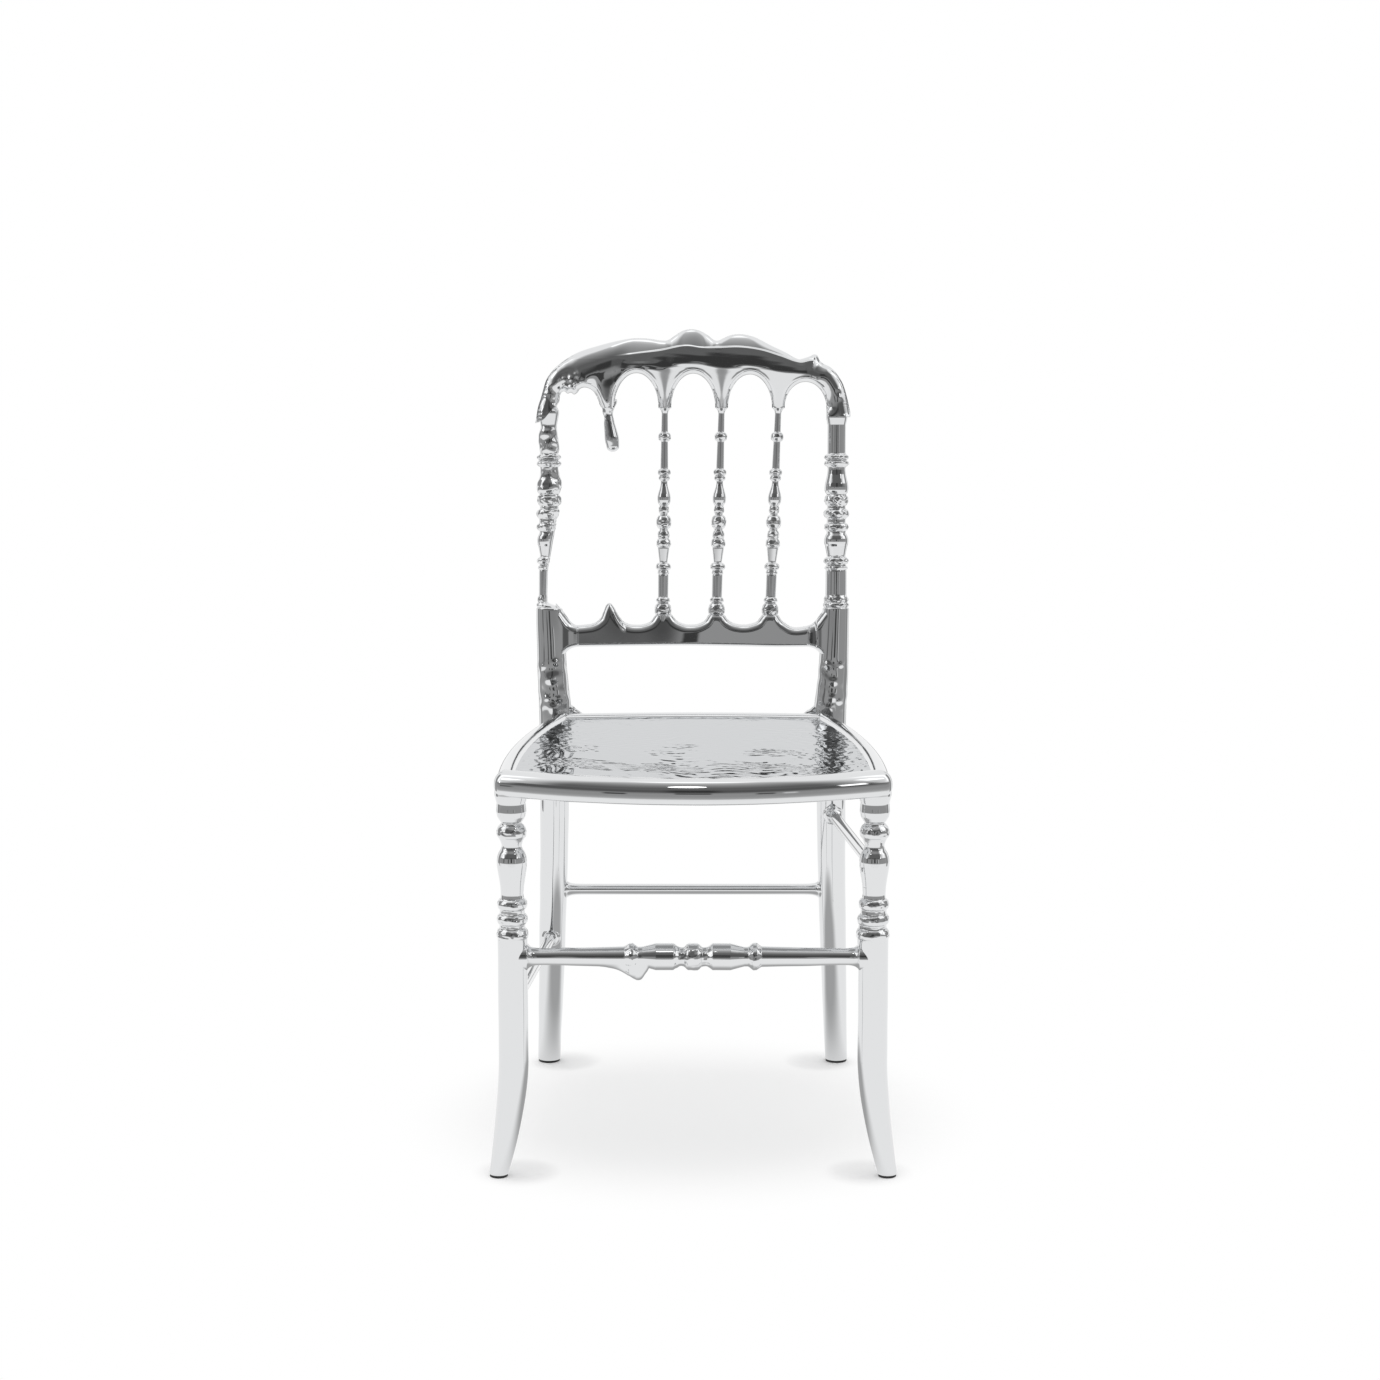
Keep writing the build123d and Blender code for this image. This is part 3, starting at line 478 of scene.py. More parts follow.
@dataclass(frozen=True)
class Finish:
    """A finish with a colour, a roughness that varies in soft patches, and a fine relief.

    The roughness goes from smooth to rough over noise patches of patch_mm, and the relief is noise of
    grain_mm with a height of relief_mm.
    """

    name: str
    colour: str
    metallic: float
    smooth: float
    rough: float
    patch_mm: float
    grain_mm: float
    relief_mm: float
    stretch: Numbers = (1.0, 1.0, 1.0)
    glancing: str = "FFFFFF"       # tint of the light that leaves at a flat angle

    def material(self) -> bpy.types.Material:
        """The finish's material, made once."""
        made = bpy.data.materials.get(self.name)
        return made if made else self.make()

    def make(self) -> bpy.types.Material:
        """Build the finish's nodes on Object coordinates, which are metres.

        Returns:
            The new material.
        """
        material = bpy.data.materials.new(self.name)
        material.use_nodes = True
        tree = material.node_tree
        tree.nodes.clear()
        low, high = PATCH_NOISE
        place = add_node(tree, "TexCoord").outputs["Object"]
        place = add_node(tree, "Mapping", {"Vector": place, "Scale": self.stretch})
        patch = add_node(tree, "TexNoise", {
            "Vector": place, "Scale": 1 / (self.patch_mm * MM), "Detail": 3.0,
        })
        gloss = add_node(tree, "MapRange", {"Value": patch, 1: low, 2: high, 3: self.smooth, 4: self.rough})
        grain = add_node(tree, "TexNoise", {
            "Vector": place, "Scale": 1 / (self.grain_mm * MM), "Detail": 2.0,
        })
        relief = add_node(tree, "Bump", {"Height": grain, "Distance": self.relief_mm * MM, "Strength": 1.0})
        shader = add_node(tree, "BsdfPrincipled", {
            "Base Color": linear(self.colour), "Metallic": self.metallic, "Roughness": gloss,
            "Normal": relief, "Specular Tint": linear(self.glancing),
        })
        add_node(tree, "OutputMaterial", {"Surface": shader})
        return material


# Bright chrome plate over polished cast metal: a clear mirror with hardly any haze
CHROME = Finish("chrome_plated_casting", "E1E2E3", 1.0, 0.02, 0.045, 40.0, 14.0, 0.010)
# The same plate on the hammered seat sheet, a little hazier
SEAT_CHROME = Finish("chrome_plated_hammered_sheet", "DEDFE0", 1.0, 0.03, 0.07, 30.0, 6.0, 0.010,
                     glancing="E4E5E6")
# Machine-cut steel screws, grey with fine turning marks across the head, drawn coarse enough to show
SCREW_STEEL = Finish("machined_steel", "A7A9AB", 1.0, 0.25, 0.42, 4.0, 0.6, 0.02, (1.0, 6.0, 1.0))
# Moulded rubber of the glides, near black and dull with a fine grain
RUBBER = Finish("moulded_rubber", "1B1B1C", 0.0, 0.55, 0.75, 6.0, 0.8, 0.03)


# Plane of the back

@dataclass(frozen=True)
class BackPlane:
    """Leaning plane that the posts, rails and spindles of the back lie on."""

    y: float = 187.0
    lean: float = math.radians(4.5)

    @property
    def normal(self) -> Array:
        """Direction square to the plane, to the front."""
        return np.array([0.0, -math.cos(self.lean), math.sin(self.lean)])

    @property
    def up(self) -> Array:
        """Direction up the plane."""
        return np.array([0.0, math.sin(self.lean), math.cos(self.lean)])

    def point(self, x: Array | float, height: Array | float) -> Array:
        """Point across the plane at x and up it from the seat by a height.

        Args:
            x: Places across.
            height: Heights up the plane.

        Returns:
            A point for each pair.
        """
        x, height = np.broadcast_arrays(np.asarray(x, float), np.asarray(height, float))
        base = np.array([0.0, self.y, SEAT_HEIGHT])
        return base + x[..., None] * X_AXIS + height[..., None] * self.up

    def slab(self, x: Array, heights: Array, depth: Array) -> Array:
        """Two-faced slab on the plane: points at plus and minus a depth from it, joined at its edges.

        Args:
            x: Place across the plane of each column.
            heights: Heights of the points in each column, from top to foot.
            depth: Half thickness at each of those points.

        Returns:
            A grid of rings, one for each column: down the front and up the back.
        """
        middle = self.point(x[:, None], heights)
        lift = np.maximum(depth, EDGE)[..., None] * self.normal
        return np.concatenate([middle + lift, (middle - lift)[:, ::-1]], axis=1)


BACK = BackPlane()


def column_heights(top: Array, foot: Array, count: int) -> Array:
    """Heights down each column, closest together at the two outlines: the middle plus half * cos(pi t)."""
    share = (1 - np.cos(np.linspace(0, math.pi, count))) / 2
    return top[:, None] + (foot - top)[:, None] * share


# Sub-assemblies

@dataclass
class FrontLegs:
    """The two turned front legs, which sweep out and forward to the toe."""

    x: float = 187.0
    y: float = -188.0
    foot_z: float = 3.0
    shaft_radius: float = 15.5
    foot_radius: float = 10.0
    toe_out: float = 17.0
    toe_forward: float = 5.0
    sweep_height: float = 125.0
    sweep_power: float = 1.6
    rail_foot: float = 405.0
    head_top: float = 416.0
    # Heights from the underside of the seat rail, radii and mid radii
    turning: Stations = (
        (-150, 15.5), (-140, 13.4, 16.4), (-135.5, 13.2), (-125, 13.2, 15.9), (-119.5, 13),
        (-108.5, 12.2, 15.6), (-104, 11.9), (-96, 12.3), (-88, 13.3), (-80, 14.6), (-73.5, 15.5), (-69, 15.6),
        (-64, 14.9), (-59.5, 13.2), (-56.5, 11.2), (-54, 10.3), (-51.5, 10.4), (-48, 11.6), (-44, 13.6),
        (-30.5, 11.2, 15.2), (-28.5, 10.5), (-26.5, 12), (-22, 14.6), (-17, 15.6), (-12, 15.2), (-8, 15),
        (0, 17.2),
    )
    turning_reach: float = 154.0   # how far below the rail the close rings of points begin
    shaft_reach: float = 153.0     # and where the shaft's own radius ends
    spacing: Pair = (2.0, 0.5)   # between the rings of the shaft and of the turning
    sway: Wave = (0.12, 70.0)
    # Metal run down the right leg: height, half height, angle in degrees and rise, then its folds
    run: Numbers = (262.0, 17.0, 205.0, 2.6)
    folds: Wave = (0.5, 3.1)
    # Pit above it: height, half height, angle in degrees, half width in radians and depth
    pit: Numbers = (357.0, 2.6, 310.0, 0.16, 2.2)

    def leg(self, side: Side) -> Array:
        """Leg as a tube whose axis leaves the vertical by (1 - z / sweep height)^power below the sweep.

        Args:
            side: Side of the chair.

        Returns:
            A grid of points, ring by ring.
        """
        turned = self.rail_foot - self.turning_reach
        shaft_step, turned_step = self.spacing
        z = np.concatenate([np.arange(self.foot_z, turned, shaft_step),
                            np.arange(turned, self.head_top, turned_step)])
        share = np.clip(1 - z / self.sweep_height, 0, None) ** self.sweep_power
        x = side.value * (self.x + self.toe_out * share)
        path = np.stack([x, self.y - self.toe_forward * share, z], axis=-1)
        rise = np.clip((z - self.foot_z) / (self.sweep_height - self.foot_z), 0, 1)
        shaft = self.foot_radius + (self.shaft_radius - self.foot_radius) * np.sin(rise * math.pi / 2)
        stations = tuple((s[0] + self.rail_foot, *s[1:]) for s in self.turning)
        radius = np.where(z < self.rail_foot - self.shaft_reach, shaft, turning_radius(stations, z))
        level = np.broadcast_to(Z_AXIS, path.shape)
        grid = tube(path, radius, heading=level)
        swell = cast_wave(grid, *self.sway, 3 + side.value)
        swell += on_beads(stations, z)[:, None] * cast_wave(grid, *BEAD_WAVE, 5 + side.value)
        if side is Side.RIGHT:
            swell = swell + self.smear(z)
        return tube(path, radius[:, None] + swell, heading=level)

    def smear(self, z: Array) -> Array:
        """Metal that has run down the right leg's inner front over two rings, and a small pit above it.

        Args:
            z: Heights of the leg's rings.

        Returns:
            What it adds to the radius at each ring and angle.
        """
        angle = ring_angles()
        height, half, turn, rise = self.run
        run = bell(height, half, z)[:, None] * np.maximum(np.cos(angle - math.radians(turn)), 0) ** 2
        depth, pace = self.folds
        folded = rise + depth * np.sin(z[:, None] / pace + 3 * angle)
        height, half, turn, width, depth = self.pit
        pit = depth * bell(height, half, z)[:, None] * bell(math.radians(turn), width, angle)
        return run * folded - pit

    def build(self) -> None:
        """Make both legs."""
        for side in Side:
            add_piece(f"front_leg_{side.word}", [self.leg(side)], CHROME)


@dataclass
class RearPosts:
    """Rear legs that carry on up as the posts of the back, each with a bracket to the lower rail."""

    # Level sections of the right leg: x, y, z and radius
    limb: Stations = ((172, 239, 3, 13.2), (166, 211, 150, 15.3), (161, 190, 326, 16.6),
                      (161, 187, 432, 16.8))
    # Sections square to the back: x, height up the back and radius
    rise: Stations = ((163, 59, 16.8), (165.5, 118, 15.2))
    shoulder: float = 118.0
    x: float = 165.5
    # Lengths above the shoulder, radii and mid radii
    turning: Stations = (
        (0, 15.2), (2, 15.2), (3.2, 13.4), (9, 13.2, 14.9), (16.5, 12.2, 14), (45, 12), (46.5, 11.5),
        (51.5, 11.3, 13.2), (52.5, 11), (61.5, 10.6, 14.5), (63, 10.7), (70, 12.1), (72.4, 12.6),
        (73.4, 12.7), (76, 13.6), (79, 14.1), (82, 14), (85.5, 13), (88.5, 11.3), (91, 10.8),
        (100.5, 10.8, 14), (105.3, 10.7), (116.5, 10.7, 14.5), (120.2, 10.6), (132.5, 11.2, 13.8),
        (133.8, 11.6), (135.2, 12.8), (138, 13.7), (141.5, 13.9), (146, 13.3), (151, 12.1), (156, 11),
        (161.5, 10.3), (165, 10.4), (172, 11.6, 14.3), (173.2, 12), (179.5, 10.6, 14.2),
    )
    # Collar under each sleeve, which widens upwards: length above the shoulder and radius
    collars: dict[Side, Stations] = field(default_factory=lambda: {
        Side.LEFT: ((206, 10.6), (210, 9.4), (212, 9.4), (226, 12.2), (229, 12), (234, 9.5)),
        Side.RIGHT: ((211, 10.6), (213, 10.6), (214.5, 11), (221, 12.3), (235, 12.3)),
    })
    head_top: dict[Side, float] = field(default_factory=lambda: {Side.LEFT: 362.0, Side.RIGHT: 356.0})
    # Line on the left post beyond which its inner side has run away: height and x
    melt: Stations = ((120, -150.0), (126, -167.5), (133, -168.2), (164, -167.3), (184, -163.5),
                      (199, -161), (243, -152), (250, -149))
    melt_span: Pair = (118.0, 249.0)   # heights from and to which that holds
    melt_least: float = 0.2        # share of a ring's width that is left at the least
    melt_soft: float = 2.2         # softening of the melt up the post
    melt_thin: float = 0.45        # share of its depth that a ring without width would keep
    # Lumps of the melt: where they rise and fall up the back, and their waves
    melt_lumps: Numbers = (205.0, 230.0, 322.0, 334.0)
    melt_waves: tuple[Wave, Wave] = ((0.9, 22.0), (0.42, 11.0))
    # Brackets on the right side: x, height of the top and of the foot, half thickness
    bracket_top: Stations = ((133.4, 100), (137, 101.4), (141, 104.6), (146, 111.4), (151, 118.2), (158, 126))
    bracket_foot: Stations = ((133.4, 75.4), (139, 74), (144.9, 70.3), (148, 66.4), (150, 62), (158, 50))
    bracket_depth: Pair = (9.0, 12.0)
    bracket_level: float = 2.0     # length of its start that doesn't thicken yet
    bracket_round: float = 9.0
    bracket_points: int = 40
    # Tilted patch at the start of the right bracket: x, half width, its blend, middle height and slope
    patch: Numbers = (138.5, 4.0, 1.2, 84.0, 0.17)
    # Web in the corner between a post and the rear rail: x and height, then its radius at the start and
    # how much of that it loses, and its unevenness
    web: Stations = ((153, 18), (147, 8), (139, 1), (128, -5))
    web_radius: Pair = (6.0, 3.0)
    web_wave: Wave = (0.12, 7.0)
    spacing: Pair = (1.2, 0.5)   # between the rings of the limb and of the turning
    lean_start: float = 300.0      # height where the rings begin to lean with the back
    sway: Wave = (0.14, 60.0)
    bead_wave: Wave = (0.36, 5.2)
    bulge: float = 0.8             # power of the beads, which are sharper than elsewhere
    # Lumps between the seat and the brackets: where they rise and fall up the back
    low_lumps: Numbers = (0.0, 8.0, 50.0, 66.0)
    low_wave: Wave = (0.3, 17.0)
    flare: float = 3.2             # how far the inner side spreads down to the seat
    flare_span: Numbers = (-30.0, -5.0, 4.0, 52.0)   # heights where that rises and falls
    # Small drops of metal there: height up the back, place across the front from -1 to 1, size and rise
    dots: dict[Side, Stations] = field(default_factory=lambda: {
        Side.LEFT: ((58, 0.3, 3, 1.1), (53, -0.6, 3.4, 1.2), (38, -0.15, 3.6, 1.3), (17, -0.4, 3.6, 1.3),
                    (16, 0.4, 3.2, 1.2), (5, 0, 4, 1.4)),
        Side.RIGHT: ((55, -0.5, 3.4, 1.2), (55, 0.44, 3.4, 1.2), (36, 0, 3.6, 1.3), (17, -0.05, 3.6, 1.3),
                     (13, 0.45, 3.2, 1.1), (5, -0.3, 4, 1.4)),
    })

    def axis(self, side: Side) -> tuple[Array, Array, Array]:
        """Path, radius and height up the back of a post's rings.

        Args:
            side: Side of the chair.

        Returns:
            The three, ring by ring.
        """
        points = [np.array(s[:3], float) for s in self.limb] + [BACK.point(s[0], s[1]) for s in self.rise]
        limb_step, turned_step = self.spacing
        low, at, marks = smooth_path(np.array(points), limb_step)
        low_radius = hermite(marks, np.array([s[-1] for s in self.limb + self.rise]), at)
        height = np.arange(self.shoulder + turned_step, self.head_top[side], turned_step)
        path = np.concatenate([low, BACK.point(self.x, height)])
        turned = turning_radius(self.turning + self.collars[side], height - self.shoulder, bulge=self.bulge)
        radius = np.concatenate([low_radius, turned])
        path[:, 0] *= side.value
        up = np.concatenate([(low - BACK.point(0, 0)) @ BACK.up, height])
        return path, radius, up

    def post(self, side: Side) -> Array:
        """Post as a tube with uneven beads, lumps and small drops of metal, melted on the left.

        Args:
            side: Side of the chair.

        Returns:
            A grid of points, ring by ring.
        """
        path, radius, up = self.axis(side)
        lean = smoothstep(self.lean_start, SEAT_HEIGHT, path[:, 2])[:, None]
        heading = Z_AXIS + lean * (BACK.up - Z_AXIS)
        grid = tube(path, radius, heading=heading)
        swell = cast_wave(grid, *self.sway, 11 + side.value)
        beads = on_beads(self.turning, up - self.shoulder)[:, None]
        swell += beads * cast_wave(grid, *self.bead_wave, 13 + side.value)
        swell += span(self.low_lumps, up)[:, None] * cast_wave(grid, *self.low_wave, 17 + side.value)
        angle = ring_angles()
        inner = np.maximum(-side.value * np.cos(angle), 0) ** 2
        swell += self.flare * span(self.flare_span, up)[:, None] * inner
        for height, across, size, rise in self.dots[side]:
            turn = 2 * math.pi - math.acos(across)
            swell += rise * bell(height, size, up)[:, None] * bell(turn, size / radius[:, None], angle)
        if side is Side.RIGHT:
            return tube(path, radius[:, None] + swell, heading=heading)
        coarse, fine = self.melt_waves
        lumps = cast_wave(grid, *coarse, 29) + cast_wave(grid, *fine, 31)
        swell += span(self.melt_lumps, up)[:, None] * lumps
        return self.melted(tube(path, radius[:, None] + swell, heading=heading), path, radius, up)

    def melted(self, grid: Array, path: Array, radius: Array, up: Array) -> Array:
        """Left post with its inner side run away: rings squeezed towards their outer side and thinned.

        Args:
            grid: Rings of the whole post.
            path: Their centres.
            radius: Their radii.
            up: Their heights up the back.

        Returns:
            The rings of the melted post.
        """
        line = np.array(self.melt)
        low, high = self.melt_span
        cut = np.where((up > low) & (up < high), np.interp(up, line[:, 0], line[:, 1]), 0.0)
        outer = path[:, 0] - radius
        share = np.clip((cut - outer) / (2 * radius), self.melt_least, 1)
        reach = np.arange(-6, 7)
        weights = bell(0, self.melt_soft, reach * self.spacing[1])
        share = np.convolve(np.pad(share, reach[-1], mode="edge"), weights / weights.sum(), mode="valid")
        grid[..., 0] = outer[:, None] + (grid[..., 0] - outer[:, None]) * share[:, None]
        offset = grid - path[:, None]
        offset[..., 1:] *= (self.melt_thin + (1 - self.melt_thin) * share)[:, None, None]
        return path[:, None] + offset

    def bracket(self, side: Side) -> Array:
        """Bracket as a slab between two curves, with rounded edges, thicker towards the post.

        Args:
            side: Side of the chair.

        Returns:
            A grid of rings, one for each column.
        """
        x = np.linspace(self.bracket_top[0][0], self.bracket_top[-1][0], self.bracket_points)
        top, foot = read(self.bracket_top, x), read(self.bracket_foot, x)
        heights = column_heights(top, foot, self.bracket_points)
        flat = pairs(x[:, None], heights)
        start, end = self.bracket_depth
        depth = start + (end - start) * smoothstep(x[0] + self.bracket_level, x[-1], x)[:, None]
        if side is Side.RIGHT:
            patch_x, width, blend, middle, slope = self.patch
            across = smoothstep(width + blend, width - blend, np.abs(x - patch_x))[:, None]
            depth = depth - slope * (heights - middle) * across
        depth = depth * round_edge(near(flat, pairs(x, top)), self.bracket_round)
        depth = depth * round_edge(near(flat, pairs(x, foot)), self.bracket_round / 2)
        return BACK.slab(side.value * x, heights, depth)

    def gusset(self, side: Side) -> Array:
        """Web in the corner between a post and the rear rail: a short tube that tapers to the rail.

        Args:
            side: Side of the chair.

        Returns:
            A grid of points, ring by ring.
        """
        line = np.array(self.web)
        path, at, marks = smooth_path(BACK.point(line[:, 0], line[:, 1]), 1.0)
        path[:, 0] *= side.value
        start, loss = self.web_radius
        return wavy_tube(path, start - loss * at / marks[-1], self.web_wave, 19)

    def build(self) -> None:
        """Make both posts."""
        for side in Side:
            grids = [self.post(side), self.bracket(side), self.gusset(side)]
            add_piece(f"rear_post_{side.word}", grids, CHROME)


@dataclass
class CrestRail:
    """Top rail of the back: a swelling bar with a lip, five arches, four drops and two sleeves."""

    # Upper outline: x and height up the back
    top: Stations = (
        (-181, 330), (-178.5, 348), (-174.5, 362), (-169.1, 381), (-163, 391), (-152, 401.5), (-140, 409.5),
        (-106, 422), (-88, 426.5), (-69.2, 429.5), (-50, 429.2), (-36, 427.2), (-30.5, 427.2), (-26, 429),
        (-22, 431.8), (-14.7, 436.6), (-8, 439.2), (-1.4, 440), (6, 438.8), (13.3, 435.7), (19, 431.8),
        (24, 428), (27, 427), (30, 427.4), (35, 429.8), (41.3, 432.4), (53.1, 434.4), (62, 433.4),
        (69.4, 431.5), (90, 421.4), (107.7, 413), (118, 407.3), (122.5, 405.8), (127, 406.8), (134.3, 409.2),
        (140.2, 411.6), (143.2, 410), (145.4, 405), (148.5, 402), (158, 397), (166.7, 388), (174, 374),
        (177.1, 363), (181, 345),
    )
    half_width: float = 181.0
    sleeve_inner: float = 153.5
    # Slanting foot of the left sleeve: x and height
    sleeve_left: Stations = ((-181, 333), (-171, 337), (-162, 347), (-153.5, 357))
    sleeve_right: float = 340.0
    drop_foot: float = 350.0
    drop_half: float = 7.3
    drops: Numbers = (-97.3, -32.1, 33.1, 98.3)
    arch_rises: Numbers = (40.0, 39.5, 38.5, 30.0)   # of the four whole arches
    # Lower outline of the first arch, which has run into lumps: x and height
    melted_arch: Stations = (
        (-153.5, 357), (-153, 361), (-152.3, 365), (-150.5, 368.5), (-147.5, 369.2), (-144, 366.6),
        (-140, 367.8), (-136.5, 365.6), (-133, 367.5), (-129.5, 372), (-125.2, 373.6), (-119.5, 372.6),
        (-115.8, 370.5), (-111, 364), (-107.4, 356), (-104.6, 350),
    )
    # Lip of the metal that has run down from the top, and the line where the face turns under: x and height
    lip: Stations = (
        (-181, 408), (-110, 408), (-90, 409), (-74, 411.4), (-40, 415.6), (-3.7, 421), (8.3, 419.2),
        (30, 419.4), (54.2, 419.8), (80.6, 416), (100.1, 410), (123.1, 402.7), (140.1, 403.9), (150, 396),
        (181, 380),
    )
    face_foot: Stations = (
        (-181, 360), (-150, 370), (-138, 369), (-126, 375), (-114, 372), (-104, 362), (-97, 357), (-91, 370),
        (-84, 386), (-76.6, 394), (-59, 394.6), (-47, 393.4), (-34.8, 393.4), (-20, 398.8), (-5, 400.8),
        (8.4, 400.3), (20, 397.4), (36.6, 395.2), (47.7, 396), (58.8, 397.8), (71.3, 396.9), (85.2, 394.4),
        (96.3, 391.5), (104.6, 390.3), (118.5, 389.3), (132.4, 387.9), (144.8, 382.5), (154.5, 374),
        (181, 350),
    )
    lip_gap: float = 2.0           # least distance from the top to the lip
    face_least: float = 4.0        # and from there to the foot of the face
    half_depth: float = 15.4
    facet_slope: float = 0.42      # how fast the rail thickens from its top to the lip
    facet_depth: float = 7.2       # at the most
    lip_round: float = 4.0         # rounding of the top edge
    lip_rise: float = 1.0          # half height of the ledge at the lip
    face_lean: float = 3.4         # how far the face falls back from its foot up to the lip
    face_curve: float = 0.55       # share of that fall that is a parabola
    plain_lean: float = 0.03       # slope of the front where there is no lip
    turn_under: float = 0.03       # how fast it turns under beside the lumps
    turn_place: Pair = (-119.0, 8.0)    # x and half width of that
    under_slope: float = 0.21
    under_soft: float = 1.5        # softening where that slope begins
    wedge_slope: float = 0.08      # how much less of that slope two of the drops have in their middle
    wedges: Numbers = (-32.1, 33.1)
    # Half width of that below, how much it grows, and the heights from and to which it does
    wedge_width: Numbers = (3.5, 7.0, 360.0, 396.0)
    lip_span: Numbers = (-94.0, -68.0, 130.0, 144.0)   # where the lip rises and falls
    top_round: float = 31.0        # rounding of the top where there is no lip
    plain_swell: float = 2.4       # how much deeper the rail is on the left of the lip
    plain_fade: Pair = (-112.0, -66.0)   # x from and to which that fades
    sleeve_depth: float = 12.8
    sleeve_swell: float = 0.9      # how much deeper a sleeve is at its foot
    sleeve_foot: Pair = (334.0, 362.0)   # heights from and to which that fades
    sleeve_round: float = 13.0
    sleeve_blend: Pair = (134.0, 156.0)  # distance from the middle where a sleeve takes over
    arch_round: Pair = (7.0, 4.5)   # in the drops and at the arches' tops
    arch_fade: Pair = (366.0, 388.0)     # heights between the two
    arch_bead: Pair = (0.35, 1.5)   # rise and half width
    bead_fade: Pair = (371.0, 385.0)     # heights where it begins
    soft_edge: float = 6.0         # distance from the outlines within which the small details fade
    # Shorter lip below: middle, half length, height, rise, half height of its ledge and reach below that
    second_lip: Numbers = (-56.0, 15.0, 402.0, 0.7, 0.8, -10.0, -2.0)
    sway: Wave = (0.14, 55.0)
    # Lumps on the front: x, height, size and rise
    lumps: Stations = (
        (-147.4, 382.4, 3, 1.9), (-140, 383, 2.7, 1.9), (-132.6, 387, 3, 1.8), (-146.8, 374.8, 2.7, 2.1),
        (-140, 372, 3.1, 2.7), (-134.3, 376.6, 2.7, 2), (-127, 380, 3, 1.5), (-160, 376, 3.4, 0.7),
        (-168.4, 376, 3.4, 0.6), (-167, 366, 3, 0.6), (-159, 363, 3.2, 0.7), (167, 372, 3.4, 0.6),
        (168, 362, 3, 0.6), (139, 408, 4.5, 1.3),
    )
    # Fold beside the first drop: x, height, half length, half width, turn in degrees and depth
    fold: Numbers = (-91.0, 386.0, 14.0, 4.6, 24.0, 0.5)
    # Rows between the top, the lip, the foot of the face and the lower outline
    rows: tuple[int, ...] = (15, 10, 9, 8, 22)
    column_counts: tuple[int, ...] = (26, 90, 14, 64)   # in a sleeve, the first arch, a drop and an arch
    drop_inset: float = 0.4        # distance of a drop's outermost columns from its edges
    least_step: float = 1e-4       # between columns where the first arch overhangs
    streaks: Wave = (0.035, 5.6)   # faint streaks along the face
    streak_line: Numbers = (0.06, 2.0, 40.0)   # their slope, and the rise and pace of a bend
    streak_fade: Numbers = (384.0, 398.0, 4.0)   # from and to these heights, and at the lip
    band: float = 2.4              # half height of the close rows at the lip and at the foot of the face

    def columns(self) -> tuple[Array, Array]:
        """Places of the columns across the back and the lower outline there.

        Each whole arch is a half ellipse, drop foot + rise * sqrt(1 - u^2), with columns at u = -cos(pi t).

        Returns:
            Both, column by column.
        """
        sleeve, melted, drop, arch = self.column_counts
        swing = -np.cos(np.linspace(0, math.pi, arch))
        outer = np.sin(np.linspace(0, math.pi / 2, sleeve))
        left = self.melted_arch[0][0]
        spans = [left - (self.half_width + left) * outer[:0:-1]]
        feet = [read(self.sleeve_left, spans[0])]
        line = np.array(self.melted_arch)
        marks = run_of(line)
        run = hermite(marks, line, np.linspace(0, marks[-1], melted))
        spans.append(np.maximum.accumulate(run[:, 0] + np.arange(melted) * self.least_step))
        feet.append(run[:, 1])
        inside = self.drop_half - self.drop_inset
        ends = [place - self.drop_half for place in self.drops[1:]] + [self.sleeve_inner]
        for place, end, rise in zip(self.drops, ends, self.arch_rises):
            start = place + self.drop_half
            spans.append(np.linspace(place - inside, place + inside, drop))
            feet.append(np.full(drop, self.drop_foot))
            spans.append((start + end) / 2 + (end - start) / 2 * swing)
            feet.append(self.drop_foot + rise * np.sqrt(np.maximum(1 - swing**2, 0)))
        spans.append(self.sleeve_inner + (self.half_width - self.sleeve_inner) * outer[1:])
        feet.append(np.full(sleeve - 1, self.sleeve_right))
        return np.concatenate(spans), np.concatenate(feet)

    def row_heights(self, top: Array, lip: Array, under: Array, foot: Array) -> Array:
        """Heights down each column, close together at the outlines, the lip and the foot of the face.

        Args:
            top: Upper outline at each column.
            lip: Lip there.
            under: Foot of the face there.
            foot: Lower outline there.

        Returns:
            A row of heights for each column.
        """
        tall = top - foot
        band = np.minimum(self.band, tall * 0.05)
        lip = np.clip(lip, foot + tall * 0.5, top - tall * 0.12)
        under = np.clip(under, foot + tall * 0.2, lip - tall * 0.14)
        marks = (top, lip + band, lip - band, under + band, under - band, foot)
        pieces = []
        for number, (start, end, rows) in enumerate(zip(marks, marks[1:], self.rows)):
            share = np.linspace(0, 1, rows, endpoint=number == len(self.rows) - 1)
            share = 1 - np.cos(share * math.pi / 2) if number == 0 else share
            share = np.sin(share * math.pi / 2) if number == len(self.rows) - 1 else share
            pieces.append(start[:, None] + (end - start)[:, None] * share)
        return np.concatenate(pieces, axis=1)

